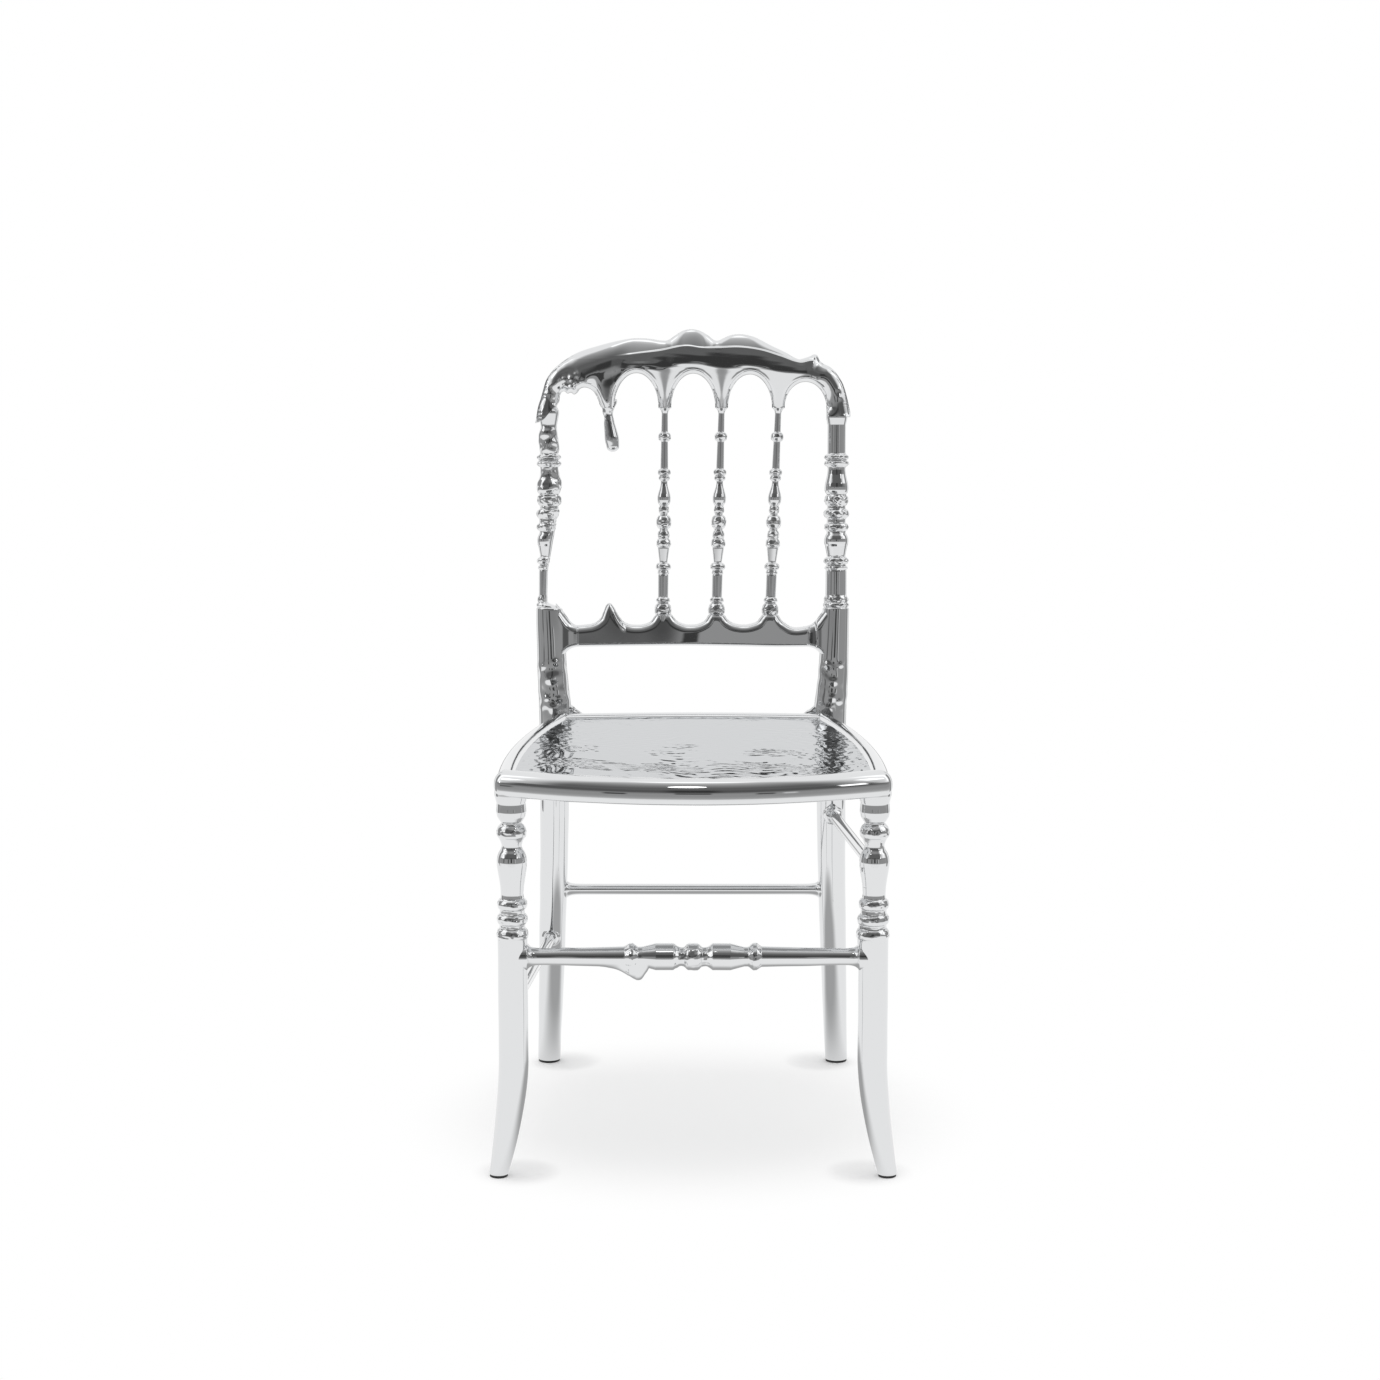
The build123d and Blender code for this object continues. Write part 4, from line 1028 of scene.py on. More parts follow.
    def body(self, x: Array, heights: Array, top: Array, upper: Array) -> Array:
        """Half thickness of the rail without its arches.

        From the top to the lip it is round * sqrt(1 - t^2) plus a straight part. At the lip a ledge leads out
        to the face, which grows as a line and a parabola to its foot and then falls by a slope to the drops,
        less in the middle of some of them. Beyond the lip's span the top is a quarter circle, which goes on
        as a straight line and, beside the lumps, as a parabola.

        Args:
            x: Place of each column.
            heights: Heights of the points in each column.
            top: Upper outline at each column.
            upper: Distance of each point from that outline.

        Returns:
            A half thickness for each point.
        """
        lip = np.minimum(read(self.lip, x), top - self.lip_gap)[:, None]
        under = np.minimum(read(self.face_foot, x)[:, None], lip - self.face_least)
        tall = top[:, None] - lip
        rise = np.clip((heights - lip) / tall, 0, 1)
        facet = np.minimum(self.facet_slope * tall, self.facet_depth) * (1 - rise)
        brow = self.lip_round * np.sqrt(1 - rise**2) + facet
        share = np.clip((heights - under) / (lip - under), 0, 1)
        face = self.half_depth - self.face_lean * ((1 - self.face_curve) * share + self.face_curve * share**2)
        lipped = face + (brow - face) * smoothstep(-self.lip_rise, self.lip_rise, heights - lip)
        beyond = np.maximum(upper - self.top_round, 0)
        turned = bell(*self.turn_place, x)[:, None]
        fuller = self.half_depth + self.plain_swell * (1 - smoothstep(*self.plain_fade, x))[:, None]
        plain = fuller * round_edge(upper, self.top_round)
        plain = plain + self.plain_lean * beyond * (1 - turned) - self.turn_under * beyond**2 * turned
        depth = plain + (lipped - plain) * span(self.lip_span, x)[:, None]
        below = under - heights
        narrow, growth, low, high = self.wedge_width
        width = narrow + growth * smoothstep(low, high, heights)
        wedge = sum(bell(drop, width, x[:, None]) for drop in self.wedges)
        slope = self.under_slope - self.wedge_slope * wedge
        return depth - slope * (below + np.sqrt(below**2 + self.under_soft**2)) / 2

    def surface(self) -> Array:
        """Front and back of the crest as a depth over the plane of the back.

        The depth is the body's, or a half circle in the sleeves, times a quarter circle from the lower
        outline, plus a bead along the arches, lumps, a fold and a little waviness.

        Returns:
            A grid of rings, one for each column.
        """
        x, foot = self.columns()
        top = np.maximum(read(self.top, x), foot + 1.5)
        lip = read(self.lip, x)
        heights = self.row_heights(top, lip, read(self.face_foot, x), foot)
        flat = pairs(x[:, None], heights)
        upper = near(flat, pairs(x, top))
        inner = (np.abs(x) <= self.sleeve_inner + 0.01) & (foot > self.drop_foot + 0.5)
        lower = near(flat, pairs(x, foot)[inner])
        in_drop, at_top = self.arch_round
        edge = in_drop + (at_top - in_drop) * smoothstep(*self.arch_fade, heights)
        body = self.body(x, heights, top, upper) * round_edge(lower, edge)
        rise, width = self.arch_bead
        body = body + rise * bell(at_top, width, lower) * smoothstep(*self.bead_fade, heights)
        post = self.sleeve_depth + self.sleeve_swell * (1 - smoothstep(*self.sleeve_foot, heights))
        post = post * round_edge(upper, self.sleeve_round) * round_edge(lower, self.sleeve_round)
        depth = body + (post - body) * smoothstep(*self.sleeve_blend, np.abs(x))[:, None]
        detail = cast_wave(BACK.point(x[:, None], heights), *self.sway, 41)
        for lump_x, height, size, rise in self.lumps:
            detail = detail + rise * bell(lump_x, size, x)[:, None] * bell(height, size, heights)
        detail = detail - self.folded(x[:, None], heights) + self.streaked(x[:, None], heights, lip[:, None])
        middle, half, height, rise, ledge, low, high = self.second_lip
        second = bell(middle, half, x)[:, None] * smoothstep(ledge, -ledge, heights - height)
        depth = depth + rise * second * smoothstep(low, high, heights - height)
        depth = depth + detail * round_edge(lower, self.soft_edge) * round_edge(upper, self.soft_edge)
        return BACK.slab(x, heights, depth)

    def folded(self, x: Array, heights: Array) -> Array:
        """Depth of the fold beside the first drop: bell curves along and across a turned line.

        Args:
            x: Places across the back.
            heights: Heights up it.

        Returns:
            A depth for each point.
        """
        middle, height, length, width, turn, depth = self.fold
        cos, sin = math.cos(math.radians(turn)), math.sin(math.radians(turn))
        along = (x - middle) * cos + (heights - height) * sin
        across = (heights - height) * cos - (x - middle) * sin
        return depth * bell(0, length, along) * bell(0, width, across)

    def streaked(self, x: Array, heights: Array, lip: Array) -> Array:
        """Faint streaks on the face under the lip: a sine wave over slightly bent level lines.

        Args:
            x: Places across the back.
            heights: Heights up it.
            lip: Height of the lip at each column.

        Returns:
            A rise for each point.
        """
        rise, length = self.streaks
        slope, bend, pace = self.streak_line
        low, high, gap = self.streak_fade
        level = heights + slope * x + bend * np.sin(x / pace)
        on_face = smoothstep(low, high, heights) * smoothstep(0, gap, lip - heights)
        return rise * np.sin(2 * math.pi * level / length) * on_face

    def build(self) -> None:
        """Make the crest rail."""
        add_piece("crest_rail", [self.surface()], CHROME)


@dataclass
class LowerRail:
    """Lower rail of the back, with a scallop between spindle seats and the point of the broken one."""

    top: Stations = (
        (-133.4, 100.2), (-128, 100.6), (-122, 101.2), (-115, 102.6), (-109.5, 105.6), (-105.5, 110),
        (-102.5, 117.5), (-99.8, 123.4), (-96.6, 126), (-93.2, 124), (-90, 119), (-86, 112), (-81, 105.5),
        (-75, 102.3), (-64, 100.8), (-55, 102), (-48, 105.5), (-43, 112), (-39.5, 114.6), (-34.5, 115.4),
        (-28.5, 114.4), (-24, 112), (-20, 107), (-13, 102.8), (-1, 101), (9, 103), (15, 107), (19, 113),
        (22.5, 114.8), (27.3, 115.4), (33, 114), (36.5, 112), (39.5, 108), (45, 103.8), (52, 101.6),
        (60, 101), (69, 102.6), (75, 105.5), (80, 112), (84, 114.6), (89.1, 115.4), (94.5, 114.6), (98, 113),
        (102, 107), (108, 102), (114, 98.6), (120, 97.8), (126, 98.4), (133.4, 99.8),
    )
    foot: Stations = ((-133.4, 75.4), (-107, 75.8), (-60, 76.4), (-3, 76.8), (50, 76), (101, 75.1),
                      (133.4, 75.4))
    columns: int = 420
    rows: int = 40
    edge_points: int = 1600
    half_depth: float = 9.0
    foot_round: float = 3.5
    soft_edges: Pair = (9.0, 6.0)   # fading of the small details at the top and at the foot
    sway: Wave = (0.035, 60.0)
    # Twist of the front: x, and how fast it falls back upwards there
    twist: Stations = ((-133.4, 0.084), (-60, 0.088), (-24, 0.082), (-8, 0.05), (8, 0), (30, -0.02),
                       (60, -0.026), (100, -0.03), (133.4, -0.03))
    twist_height: float = 88.0
    seam: Pair = (0.8, 0.9)   # depth and half width of the groove where a bracket begins
    # Drip on the front beside the broken seat: x and height
    drip: Stations = ((-91, 114), (-87, 106), (-83.5, 101), (-79, 96.5))
    drip_rise: float = 1.1
    drip_width: float = 1.5
    drip_edge: float = 3.0         # fading of the drip at the top

    def surface(self) -> Array:
        """Rail as a depth over the back's plane: quarter circles from both outlines, a twist and a drip.

        Returns:
            A grid of rings, one for each column.
        """
        x = np.linspace(self.top[0][0], self.top[-1][0], self.columns)
        top, foot = read(self.top, x), read(self.foot, x)
        heights = column_heights(top, foot, self.rows)
        flat = pairs(x[:, None], heights)
        line = np.linspace(x[0], x[-1], self.edge_points)
        from_top, from_foot = near(flat, pairs(line, read(self.top, line))), near(flat, pairs(x, foot))
        depth = self.half_depth - (heights - self.twist_height) * read(self.twist, x)[:, None]
        depth = depth * round_edge(from_top, self.half_depth) * round_edge(from_foot, self.foot_round)
        groove, width = self.seam
        detail = cast_wave(BACK.point(x[:, None], heights), *self.sway, 53)
        detail = detail - groove * bell(x[-1], width, np.abs(x))[:, None]
        soft_top, soft_foot = self.soft_edges
        depth = depth + detail * round_edge(from_top, soft_top) * round_edge(from_foot, soft_foot)
        drip = near(flat, smooth_path(np.array(self.drip), 0.5)[0])
        depth = depth + self.drip_rise * bell(0, self.drip_width, drip) * round_edge(from_top, self.drip_edge)
        return BACK.slab(x, heights, depth)

    def build(self) -> None:
        """Make the lower rail."""
        add_piece("lower_back_rail", [self.surface()], CHROME)


@dataclass
class Spindles:
    """Three turned spindles, and the stub that hangs where the fourth has broken off."""

    names: tuple[str, ...] = ("left", "centre", "right")
    feet: Numbers = (-34.5, 27.3, 89.1)
    tops: Numbers = (-32.1, 33.1, 98.3)
    foot_height: float = 110.0
    top_height: float = 350.0
    overlap: float = 5.0
    foot_turning: Stations = ((0, 7.6), (2, 7.6), (15.5, 6.6, 9.6), (16.5, 6.2), (22.5, 5.8, 7.9))
    waist_turning: Stations = (
        (-72, 6), (-71, 5.5), (-66.3, 5.2, 6.6), (-57.4, 4.7, 8.7), (-56.4, 4.6), (-40.8, 6.6), (-39.7, 6.4),
        (-29.5, 5.6, 8.3), (-20.5, 5, 6.8), (-18.6, 4.6), (-2.6, 4.6, 8.7), (-1.2, 4.2), (7.6, 4.6, 6),
        (9.5, 5.8), (11.5, 6.9), (14.5, 7.6), (18, 7.7), (22, 6.9), (26, 5.6), (30, 4.4), (33.7, 3.8),
        (36.6, 3.8), (42.6, 4.6, 6.5), (50.4, 4.4, 7.5), (52, 4.5),
    )
    top_turning: Stations = ((-38, 4), (-27.5, 3.9, 7.4), (-6, 3.6), (-3, 4.4), (0, 6.2), (5, 6.6))
    # Stub: x, height and radius
    stub: Stations = ((-97.6, 360, 9.4), (-97.4, 354, 8.4), (-97.2, 347, 6.6), (-97, 340, 5.5),
                      (-96, 332, 6.4), (-94.4, 323, 7.5), (-93, 314, 8.3), (-92, 307, 7.5))
    stub_tip: float = 7.0
    stub_wave: Wave = (0.14, 9.5)
    stub_calm: Pair = (14.0, 30.0)   # lengths down the stub where its lumps fade
    stub_sides: int = 40
    sides: int = 44
    spacing: Pair = (0.4, 0.5)   # between the rings of a spindle and of the stub
    edge_soft: float = 0.35
    bead_wave: Wave = (0.18, 4.4)

    def spindle(self, index: int) -> Array:
        """Spindle as a tube on a straight, slightly leaning line.

        Args:
            index: Number of the spindle from the left.

        Returns:
            A grid of points, ring by ring.
        """
        foot = BACK.point(self.feet[index], self.foot_height)
        top = BACK.point(self.tops[index], self.top_height)
        length = float(np.linalg.norm(top - foot))
        moved = [(s[0] + length / 2, *s[1:]) for s in self.waist_turning]
        moved += [(s[0] + length, *s[1:]) for s in self.top_turning]
        at = np.arange(-self.overlap, length + self.overlap, self.spacing[0])
        stations = self.foot_turning + tuple(moved)
        radius = turning_radius(stations, at, self.edge_soft)
        path = foot + at[:, None] * (top - foot) / length
        beads = on_beads(stations, at)[:, None]
        swell = beads * cast_wave(tube(path, radius, sides=self.sides), *self.bead_wave, 61 + index)
        return tube(path, radius[:, None] + swell, sides=self.sides)

    def hanging_stub(self) -> Array:
        """Stub as a tube down a bent line, closed below by a half ellipse, with melted lumps.

        Returns:
            A grid of points, ring by ring.
        """
        marks = np.array(self.stub)
        path, at, at_marks = smooth_path(BACK.point(marks[:, 0], marks[:, 1]), self.spacing[1])
        radius = hermite(at_marks, marks[:, 2], at)
        tip, shrink = round_end(14)
        heading = unit(path[-1] - path[-2])
        path = np.concatenate([path, path[-1] + heading * tip[:, None] * self.stub_tip])
        radius = np.concatenate([radius, radius[-1] * shrink])
        upper = 1 - smoothstep(*self.stub_calm, run_of(path))[:, None]
        return wavy_tube(path, radius, self.stub_wave, 67, upper, sides=self.stub_sides)

    def build(self) -> None:
        """Make the spindles and the stub."""
        for index, name in enumerate(self.names):
            add_piece(f"spindle_{name}", [self.spindle(index)], CHROME)
        add_piece("spindle_stub", [self.hanging_stub()], CHROME)


@dataclass
class Seat:
    """Seat: a bowed round front rail, curved side and rear rails and a rippled metal panel."""

    front_z: float = 418.5
    front_radius: float = 13.5
    front_brow: float = 2.5        # how far below its middle the front rail's upper curve ends
    front_under: float = 4.5       # power of the superellipse below that, which leaves an upright band
    front_tilt: float = 0.035      # how much the section widens downwards
    front_wave: Wave = (0.008, 90.0)
    front_half: float = 191.0
    front_y: float = -191.0
    front_bow: float = 47.0
    rail_z: float = 419.0
    rail_half_width: float = 10.5
    rail_half_height: float = 12.8
    rail_squareness: float = 2.5
    side_front: Pair = (191.0, -191.0)
    side_rear: Pair = (147.0, 187.0)
    side_sag: float = 13.5
    rear_half: float = 147.0
    rear_y: float = 171.0
    rear_bow: float = 10.0
    panel_top: float = 428.0
    panel_thickness: float = 7.0
    panel_lap: float = 5.0
    panel_points: tuple[int, int, int] = (300, 310, 12)   # to the back, across the top and across below
    # Ripples that run to the back, and finer ones from side to side: lengths from and to, slope and turn
    ripples: Numbers = (7.0, 17.0, 0.058, 0.3)
    cross: Numbers = (6.5, 17.0, 0.034, 0.7)
    ripple_count: int = 14
    side_gain: float = 2.6         # how much stronger the finer ones are beside the rails
    side_reach: Pair = (95.0, 135.0)   # distances from the middle where that begins and is full
    grain_bend: float = 6.5        # how far each long wave bends the ripples' lines
    bend_waves: tuple[int, float, float] = (4, 55.0, 120.0)   # number of long waves, lengths from and to
    patch_waves: tuple[int, float, float] = (2, 80.0, 150.0)
    patch_least: float = 0.45      # share of the ripples where those patches are weakest
    patch_edge: float = 1.1
    # Smoother patch: middle x, middle y, size and share that it takes away
    calm: Numbers = (10.0, 110.0, 95.0, 0.6)
    rear_share: float = 0.65       # share of the ripples left at the back
    rear_fade: float = 120.0
    lug: Numbers = (30.0, 18.0, 4.0)   # length, width and thickness
    lug_squareness: float = 4.0
    lug_nose: float = 0.02         # half width of the nose's end, as a share
    lug_places: Numbers = (110.0, 80.0, -24.0)   # x in front and behind, y at the sides

    def front_rail(self) -> Array:
        """Front rail on a level arc, with rounded ends.

        Its section is a half ellipse over a half superellipse, |x/a|^n + |z/b|^n = 1, widened downwards.

        Returns:
            A grid of points, ring by ring.
        """
        middle = np.array([0, self.front_y - self.front_bow, self.front_z])
        start = np.array([-self.front_half, self.front_y, self.front_z])
        path = arc_through(start, middle, start * MIRRORED, 220)
        cap, shrink = round_end(16)
        radius = self.front_radius * np.concatenate([shrink[::-1], np.ones(len(path)), shrink])
        out = cap[:, None] * self.front_radius
        first, last = unit(path[0] - path[1]), unit(path[-1] - path[-2])
        path = np.concatenate([(path[0] + first * out)[::-1], path, path[-1] + last * out])
        size = radius[:, None] * (1 + cast_wave(tube(path, radius), *self.front_wave, 71))
        grid = tube(path, size)
        offset = (grid - path[:, None]) / size[..., None]
        up = offset[..., 2]
        level = np.sqrt(np.maximum(1 - up**2, 0))
        power = np.where(up > 0, 2.0, self.front_under)
        brow = self.front_brow / self.front_radius
        out = level ** (2 / power)
        rise = np.sign(up) * np.abs(up) ** (2 / power) * np.where(up > 0, 1 + brow, 1 - brow)
        out = out * (1 - self.front_tilt * rise) / np.maximum(level, 1e-6)
        offset[..., :2] *= out[..., None]
        offset[..., 2] = rise - brow
        return path[:, None] + offset * size[..., None]

    def rail(self, path: Array) -> Array:
        """Side or rear rail as a bar of rounded section.

        Args:
            path: Axis of the rail.

        Returns:
            A grid of points, section by section.
        """
        size = np.ones(len(path))
        half_width, half_height = size * self.rail_half_width, size * self.rail_half_height
        return bar(path, half_width, half_height, self.rail_squareness, Z_AXIS)

    def side_path(self, side: Side) -> Array:
        """Axis of a side rail.

        Args:
            side: Side of the chair.

        Returns:
            Points along it.
        """
        start = np.array([side.value * self.side_front[0], self.side_front[1], self.rail_z])
        end = np.array([side.value * self.side_rear[0], self.side_rear[1], self.rail_z])
        across = unit(np.cross(end - start, Z_AXIS)) * side.value
        return arc_through(start, (start + end) / 2 + across * self.side_sag, end, 160)

    def rear_path(self) -> Array:
        """Axis of the rear rail.

        Returns:
            Points along it.
        """
        start = np.array([-self.rear_half, self.rear_y, self.rail_z])
        middle = np.array([0, self.rear_y + self.rear_bow, self.rail_z])
        return arc_through(start, middle, start * MIRRORED, 140)

    def lug_plate(self, root: Pair, heading: Pair) -> Array:
        """Screw lug under the panel: a flat bar with a rounded nose, from a rail's axis inwards.

        Args:
            root: x and y where it starts.
            heading: Direction to its nose in x and y.

        Returns:
            A grid of points, section by section.
        """
        length, width, thickness = self.lug
        z = self.panel_top - self.panel_thickness - thickness / 2
        way = unit(np.array([*heading, 0.0]))
        straight, half = length - width / 2, width / 2
        at = np.concatenate([np.linspace(0, straight, 8)[:-1],
                             straight + np.sin(np.linspace(0, math.pi / 2, 14)) * half])
        nose = np.sqrt(np.maximum(1 - (np.clip(at - straight, 0, None) / half) ** 2, self.lug_nose**2))
        path = np.array([*root, z]) + at[:, None] * way
        return bar(path, nose * half, np.full(len(at), thickness / 2), self.lug_squareness, Z_AXIS)

    def ripple(self, x: Array, y: Array) -> Array:
        """Ripples of the panel, like the grain of wood: seeded sine waves that run to the back in bent lines.

        Each wave's height is its slope times its length / (2 pi), so that every length tilts alike. Long
        waves bend the lines, and others make patches where the ripples are weaker.

        Args:
            x: Places across the seat.
            y: Places to the back.

        Returns:
            A height for each point.
        """
        draw = np.random.default_rng(83)
        whole = 2 * math.pi

        def long_waves(count: int, low: float, high: float) -> Array:
            """Sum of sine waves in seeded directions with lengths from low to high.

            Args:
                count: Number of waves.
                low: Shortest length.
                high: Longest length.

            Returns:
                A height for each point.
            """
            total = np.zeros(x.shape)
            for length, turn, phase in draw.uniform((low, 0, 0), (high, math.pi, whole), (count, 3)):
                total += np.sin((x * math.cos(turn) + y * math.sin(turn)) * whole / length + phase)
            return total

        def ripples(kind: Numbers, along: Array, across: Array) -> Array:
            """Sum of ripples that follow one another along one way, each turned a little to the other.

            Args:
                kind: Lengths from and to, slope and largest turn.
                along: Places along the one way.
                across: Places along the other.

            Returns:
                A height for each point.
            """
            low, high, slope, most = kind
            total = np.zeros(x.shape)
            for share, turn, phase in draw.uniform((0, -most, 0), (1, most, whole), (self.ripple_count, 3)):
                pace = whole / (low * (high / low) ** share)
                total += np.sin((along * math.cos(turn) + across * math.sin(turn)) * pace + phase) / pace
            return total * slope / math.sqrt(self.ripple_count / 2)

        bent = y + self.grain_bend * long_waves(*self.bend_waves)
        height = ripples(self.ripples, bent, x)
        beside = 1 + self.side_gain * smoothstep(*self.side_reach, np.abs(x))
        height += ripples(self.cross, x, bent) * beside
        patches = smoothstep(-self.patch_edge, self.patch_edge, long_waves(*self.patch_waves))
        height *= self.patch_least + (1 - self.patch_least) * patches
        calm_x, calm_y, size, share = self.calm
        height *= 1 - share * bell(calm_x, size, x) * bell(calm_y, size, y)
        front = smoothstep(self.rear_fade, -self.rear_fade, y)
        return height * (self.rear_share + (1 - self.rear_share) * front)

    def panel(self) -> Array:
        """Panel as a rippled top and a flat underside, ring by ring from front to rear.

        A ring at v goes from side to side at x = u * half(v), with y between the bowed front and rear.

        Returns:
            A grid of points, ring by ring.
        """
        back, across, below = self.panel_points
        v = np.linspace(0, 1, back)[:, None]
        u = np.linspace(-1, 1, across)[None]
        front_x, rear_x = self.side_front[0] - self.panel_lap, self.rear_half - self.panel_lap
        x = u * (front_x + (rear_x - front_x) * v + 4 * self.side_sag * v * (1 - v))
        front = self.front_y + self.panel_lap - self.front_bow * (1 - u**2)
        rear = self.rear_y - self.panel_lap + self.rear_bow * (1 - u**2)
        y = front + (rear - front) * v
        top = np.stack([x, y, self.panel_top + self.ripple(x, y)], axis=-1)
        flat = top[:, np.linspace(across - 1, 0, below).astype(int)]
        flat[..., 2] = self.panel_top - self.panel_thickness
        return np.concatenate([top, flat], axis=1)

    def build(self) -> None:
        """Make the rails with their lugs, and the panel."""
        front_x, rear_x, side_y = self.lug_places
        front_y = self.front_y - self.front_bow * (1 - (front_x / self.front_half) ** 2)
        lugs = [self.lug_plate((x, front_y), (0, 1)) for x in (-front_x, front_x)]
        add_piece("seat_front_rail", [self.front_rail(), *lugs], CHROME)
        rear_y = self.rear_y + self.rear_bow * (1 - (rear_x / self.rear_half) ** 2)
        lugs = [self.lug_plate((x, rear_y), (0, -1)) for x in (-rear_x, rear_x)]
        add_piece("seat_rear_rail", [self.rail(self.rear_path()), *lugs], CHROME)
        for side in Side:
            path = self.side_path(side)
            root = path[np.abs(path[:, 1] - side_y).argmin()]
            lug = self.lug_plate((root[0], side_y), (-side.value, 0))
            add_piece(f"seat_side_rail_{side.word}", [self.rail(path), lug], CHROME)
        add_piece("seat_panel", [self.panel()], SEAT_CHROME)


@dataclass
class Stretchers:
    """Turned front stretcher with a drip, and plain rear and side stretchers that flare into the legs."""

    front_z: float = 234.5
    front_y: float = -188.0
    leg_x: float = 187.0
    # Half of the front stretcher: distance from its middle, radius and mid radius
    turning: Stations = (
        (0, 16.2), (3, 15), (6, 13.2), (9.5, 10), (12, 9.6), (14.3, 9.9), (18, 12.4), (21.6, 14.8),
        (26, 15.9), (30, 15.9), (34, 15.2), (38, 14.2), (43, 12.8), (47, 11.7), (53, 10.2), (57, 10.2),
        (60, 12.4), (64, 15.3), (68, 12.6), (71, 10.7), (150, 8.7), (176, 8.5),
    )
    front_inset: float = 4.0       # distance of its ends from the legs' axes
    front_step: float = 0.45
    front_flare: float = 3.5       # length of its flare at a leg
    front_most: float = 14.0       # its radius at the most
    sway: Wave = (0.12, 45.0)
    # Rough places: where the middle knot ends, and where the rings begin and end
    rough_middle: Pair = (18.0, 22.0)
    rough_rings: Numbers = (57.0, 60.0, 68.0, 71.0)
    # Drip: x and reach below the axis
    drip: Stations = ((-112, 0), (-102, 8.5), (-90, 11), (-78, 14), (-68, 19.5), (-60, 24.2), (-56.5, 25),
                      (-53, 23.5), (-49.5, 18.5), (-46, 13), (-42, 0))
    drip_power: float = 5.5        # how narrow the drip is from front to back
    rod: float = 6.3
    rod_sides: int = 36
    rod_flare: float = 4.0         # length of a rod's flare at a leg
    rod_start: float = 0.3         # share of a leg's radius where a rod starts inside it
    flare: float = 5.0
    rear_z: float = 218.0
    # Axis of a rear leg: z, x and y
    rear_leg: Stations = ((0, 172, 239), (150, 166, 211), (326, 161, 190), (432, 161, 187))
    rear_radius: float = 15.0
    front_radius: float = 15.5
    # Each side stretcher: height in front and behind, inset in front and size of the knot behind
    rods: dict[Side, Numbers] = field(default_factory=lambda: {
        Side.LEFT: (184.0, 161.0, 15.5, 9.0), Side.RIGHT: (329.0, 312.0, 13.0, 14.0),
    })
    knot_inset: float = 4.0        # distance of a knot's middle from the leg
    knot_width: float = 0.8
    knot_wave: Wave = (0.07, 8.0)
    knot_sides: int = 44

    def rear_axis(self, side: Side, z: float) -> Array:
        """Centre of a rear leg at a height.

        Args:
            side: Side of the chair.
            z: The height.

        Returns:
            The point.
        """
        line = np.array(self.rear_leg)
        x, y = np.interp(z, line[:, 0], line[:, 1]), np.interp(z, line[:, 0], line[:, 2])
        return np.array([side.value * x, y, z])

    def front(self) -> Array:
        """Front stretcher as a tube whose underside reaches down to the drip's outline.

        Returns:
            A grid of points, ring by ring.
        """
        half = self.leg_x - self.front_inset
        x = np.arange(-half, half, self.front_step)
        off = np.abs(x)
        path = np.stack([x, np.full_like(x, self.front_y), np.full_like(x, self.front_z)], axis=-1)
        gap = self.leg_x - self.front_radius - off
        radius = turning_radius(self.turning, off) + self.flare * np.exp(-gap / self.front_flare)
        radius = np.minimum(radius, self.front_most)
        reach = np.clip(read(self.drip, x) - radius, 0, None)
        below = np.maximum(np.cos(ring_angles()), 0) ** self.drip_power
        rough = 1 - smoothstep(*self.rough_middle, off) + span(self.rough_rings, off)
        grid = tube(path, radius)
        swell = cast_wave(grid, *self.sway, 91) + rough[:, None] * cast_wave(grid, *BEAD_WAVE, 92)
        return tube(path, radius[:, None] + swell + reach[:, None] * below)

    def rod_between(self, start: Array, end: Array, start_inset: float, end_inset: float) -> Array:
        """Rod as a tube from leg to leg, whose radius grows by flare * exp(-gap / length) at each leg.

        Args:
            start: Axis of the first leg.
            end: Axis of the second leg.
            start_inset: Radius of the first leg.
            end_inset: Radius of the second leg.

        Returns:
            A grid of points, ring by ring.
        """
        length = float(np.linalg.norm(end - start))
        at = np.linspace(start_inset * self.rod_start, length - end_inset * self.rod_start, int(length))
        path = start + at[:, None] * (end - start) / length
        gap = np.clip(np.minimum(at - start_inset, length - end_inset - at), 0, None)
        radius = self.rod + self.flare * np.exp(-gap / self.rod_flare)
        return tube(path, radius, Z_AXIS, self.rod_sides)

    def knot(self, middle: Array, heading: Array, size: float) -> Array:
        """Lump of run metal at a rod's end: a bead r * sqrt(1 - t^2) with a wavy surface.

        Args:
            middle: Middle of the lump.
            heading: Direction of the rod.
            size: Half its length.

        Returns:
            A grid of points, ring by ring.
        """
        t = -np.cos(np.linspace(0.05, math.pi - 0.05, 30))
        path = middle + heading * (t * size)[:, None]
        radius = size * self.knot_width * np.sqrt(1 - t**2)
        return wavy_tube(path, radius, self.knot_wave, 97, reference=Z_AXIS, sides=self.knot_sides)

    def build(self) -> None:
        """Make the four stretchers."""
        add_piece("front_stretcher", [self.front()], CHROME)
        left, right = (self.rear_axis(side, self.rear_z) for side in Side)
        rear = self.rod_between(left, right, self.rear_radius, self.rear_radius)
        add_piece("rear_stretcher", [rear], CHROME)
        for side, (front_z, rear_z, inset, size) in self.rods.items():
            start = np.array([side.value * self.leg_x, self.front_y, front_z])
            end = self.rear_axis(side, rear_z)
            heading = unit(end - start)
            middle = end - heading * (self.rear_radius + self.knot_inset)
            grids = [self.rod_between(start, end, inset, self.rear_radius), self.knot(middle, heading, size)]
            add_piece(f"side_stretcher_{side.word}", grids, CHROME)


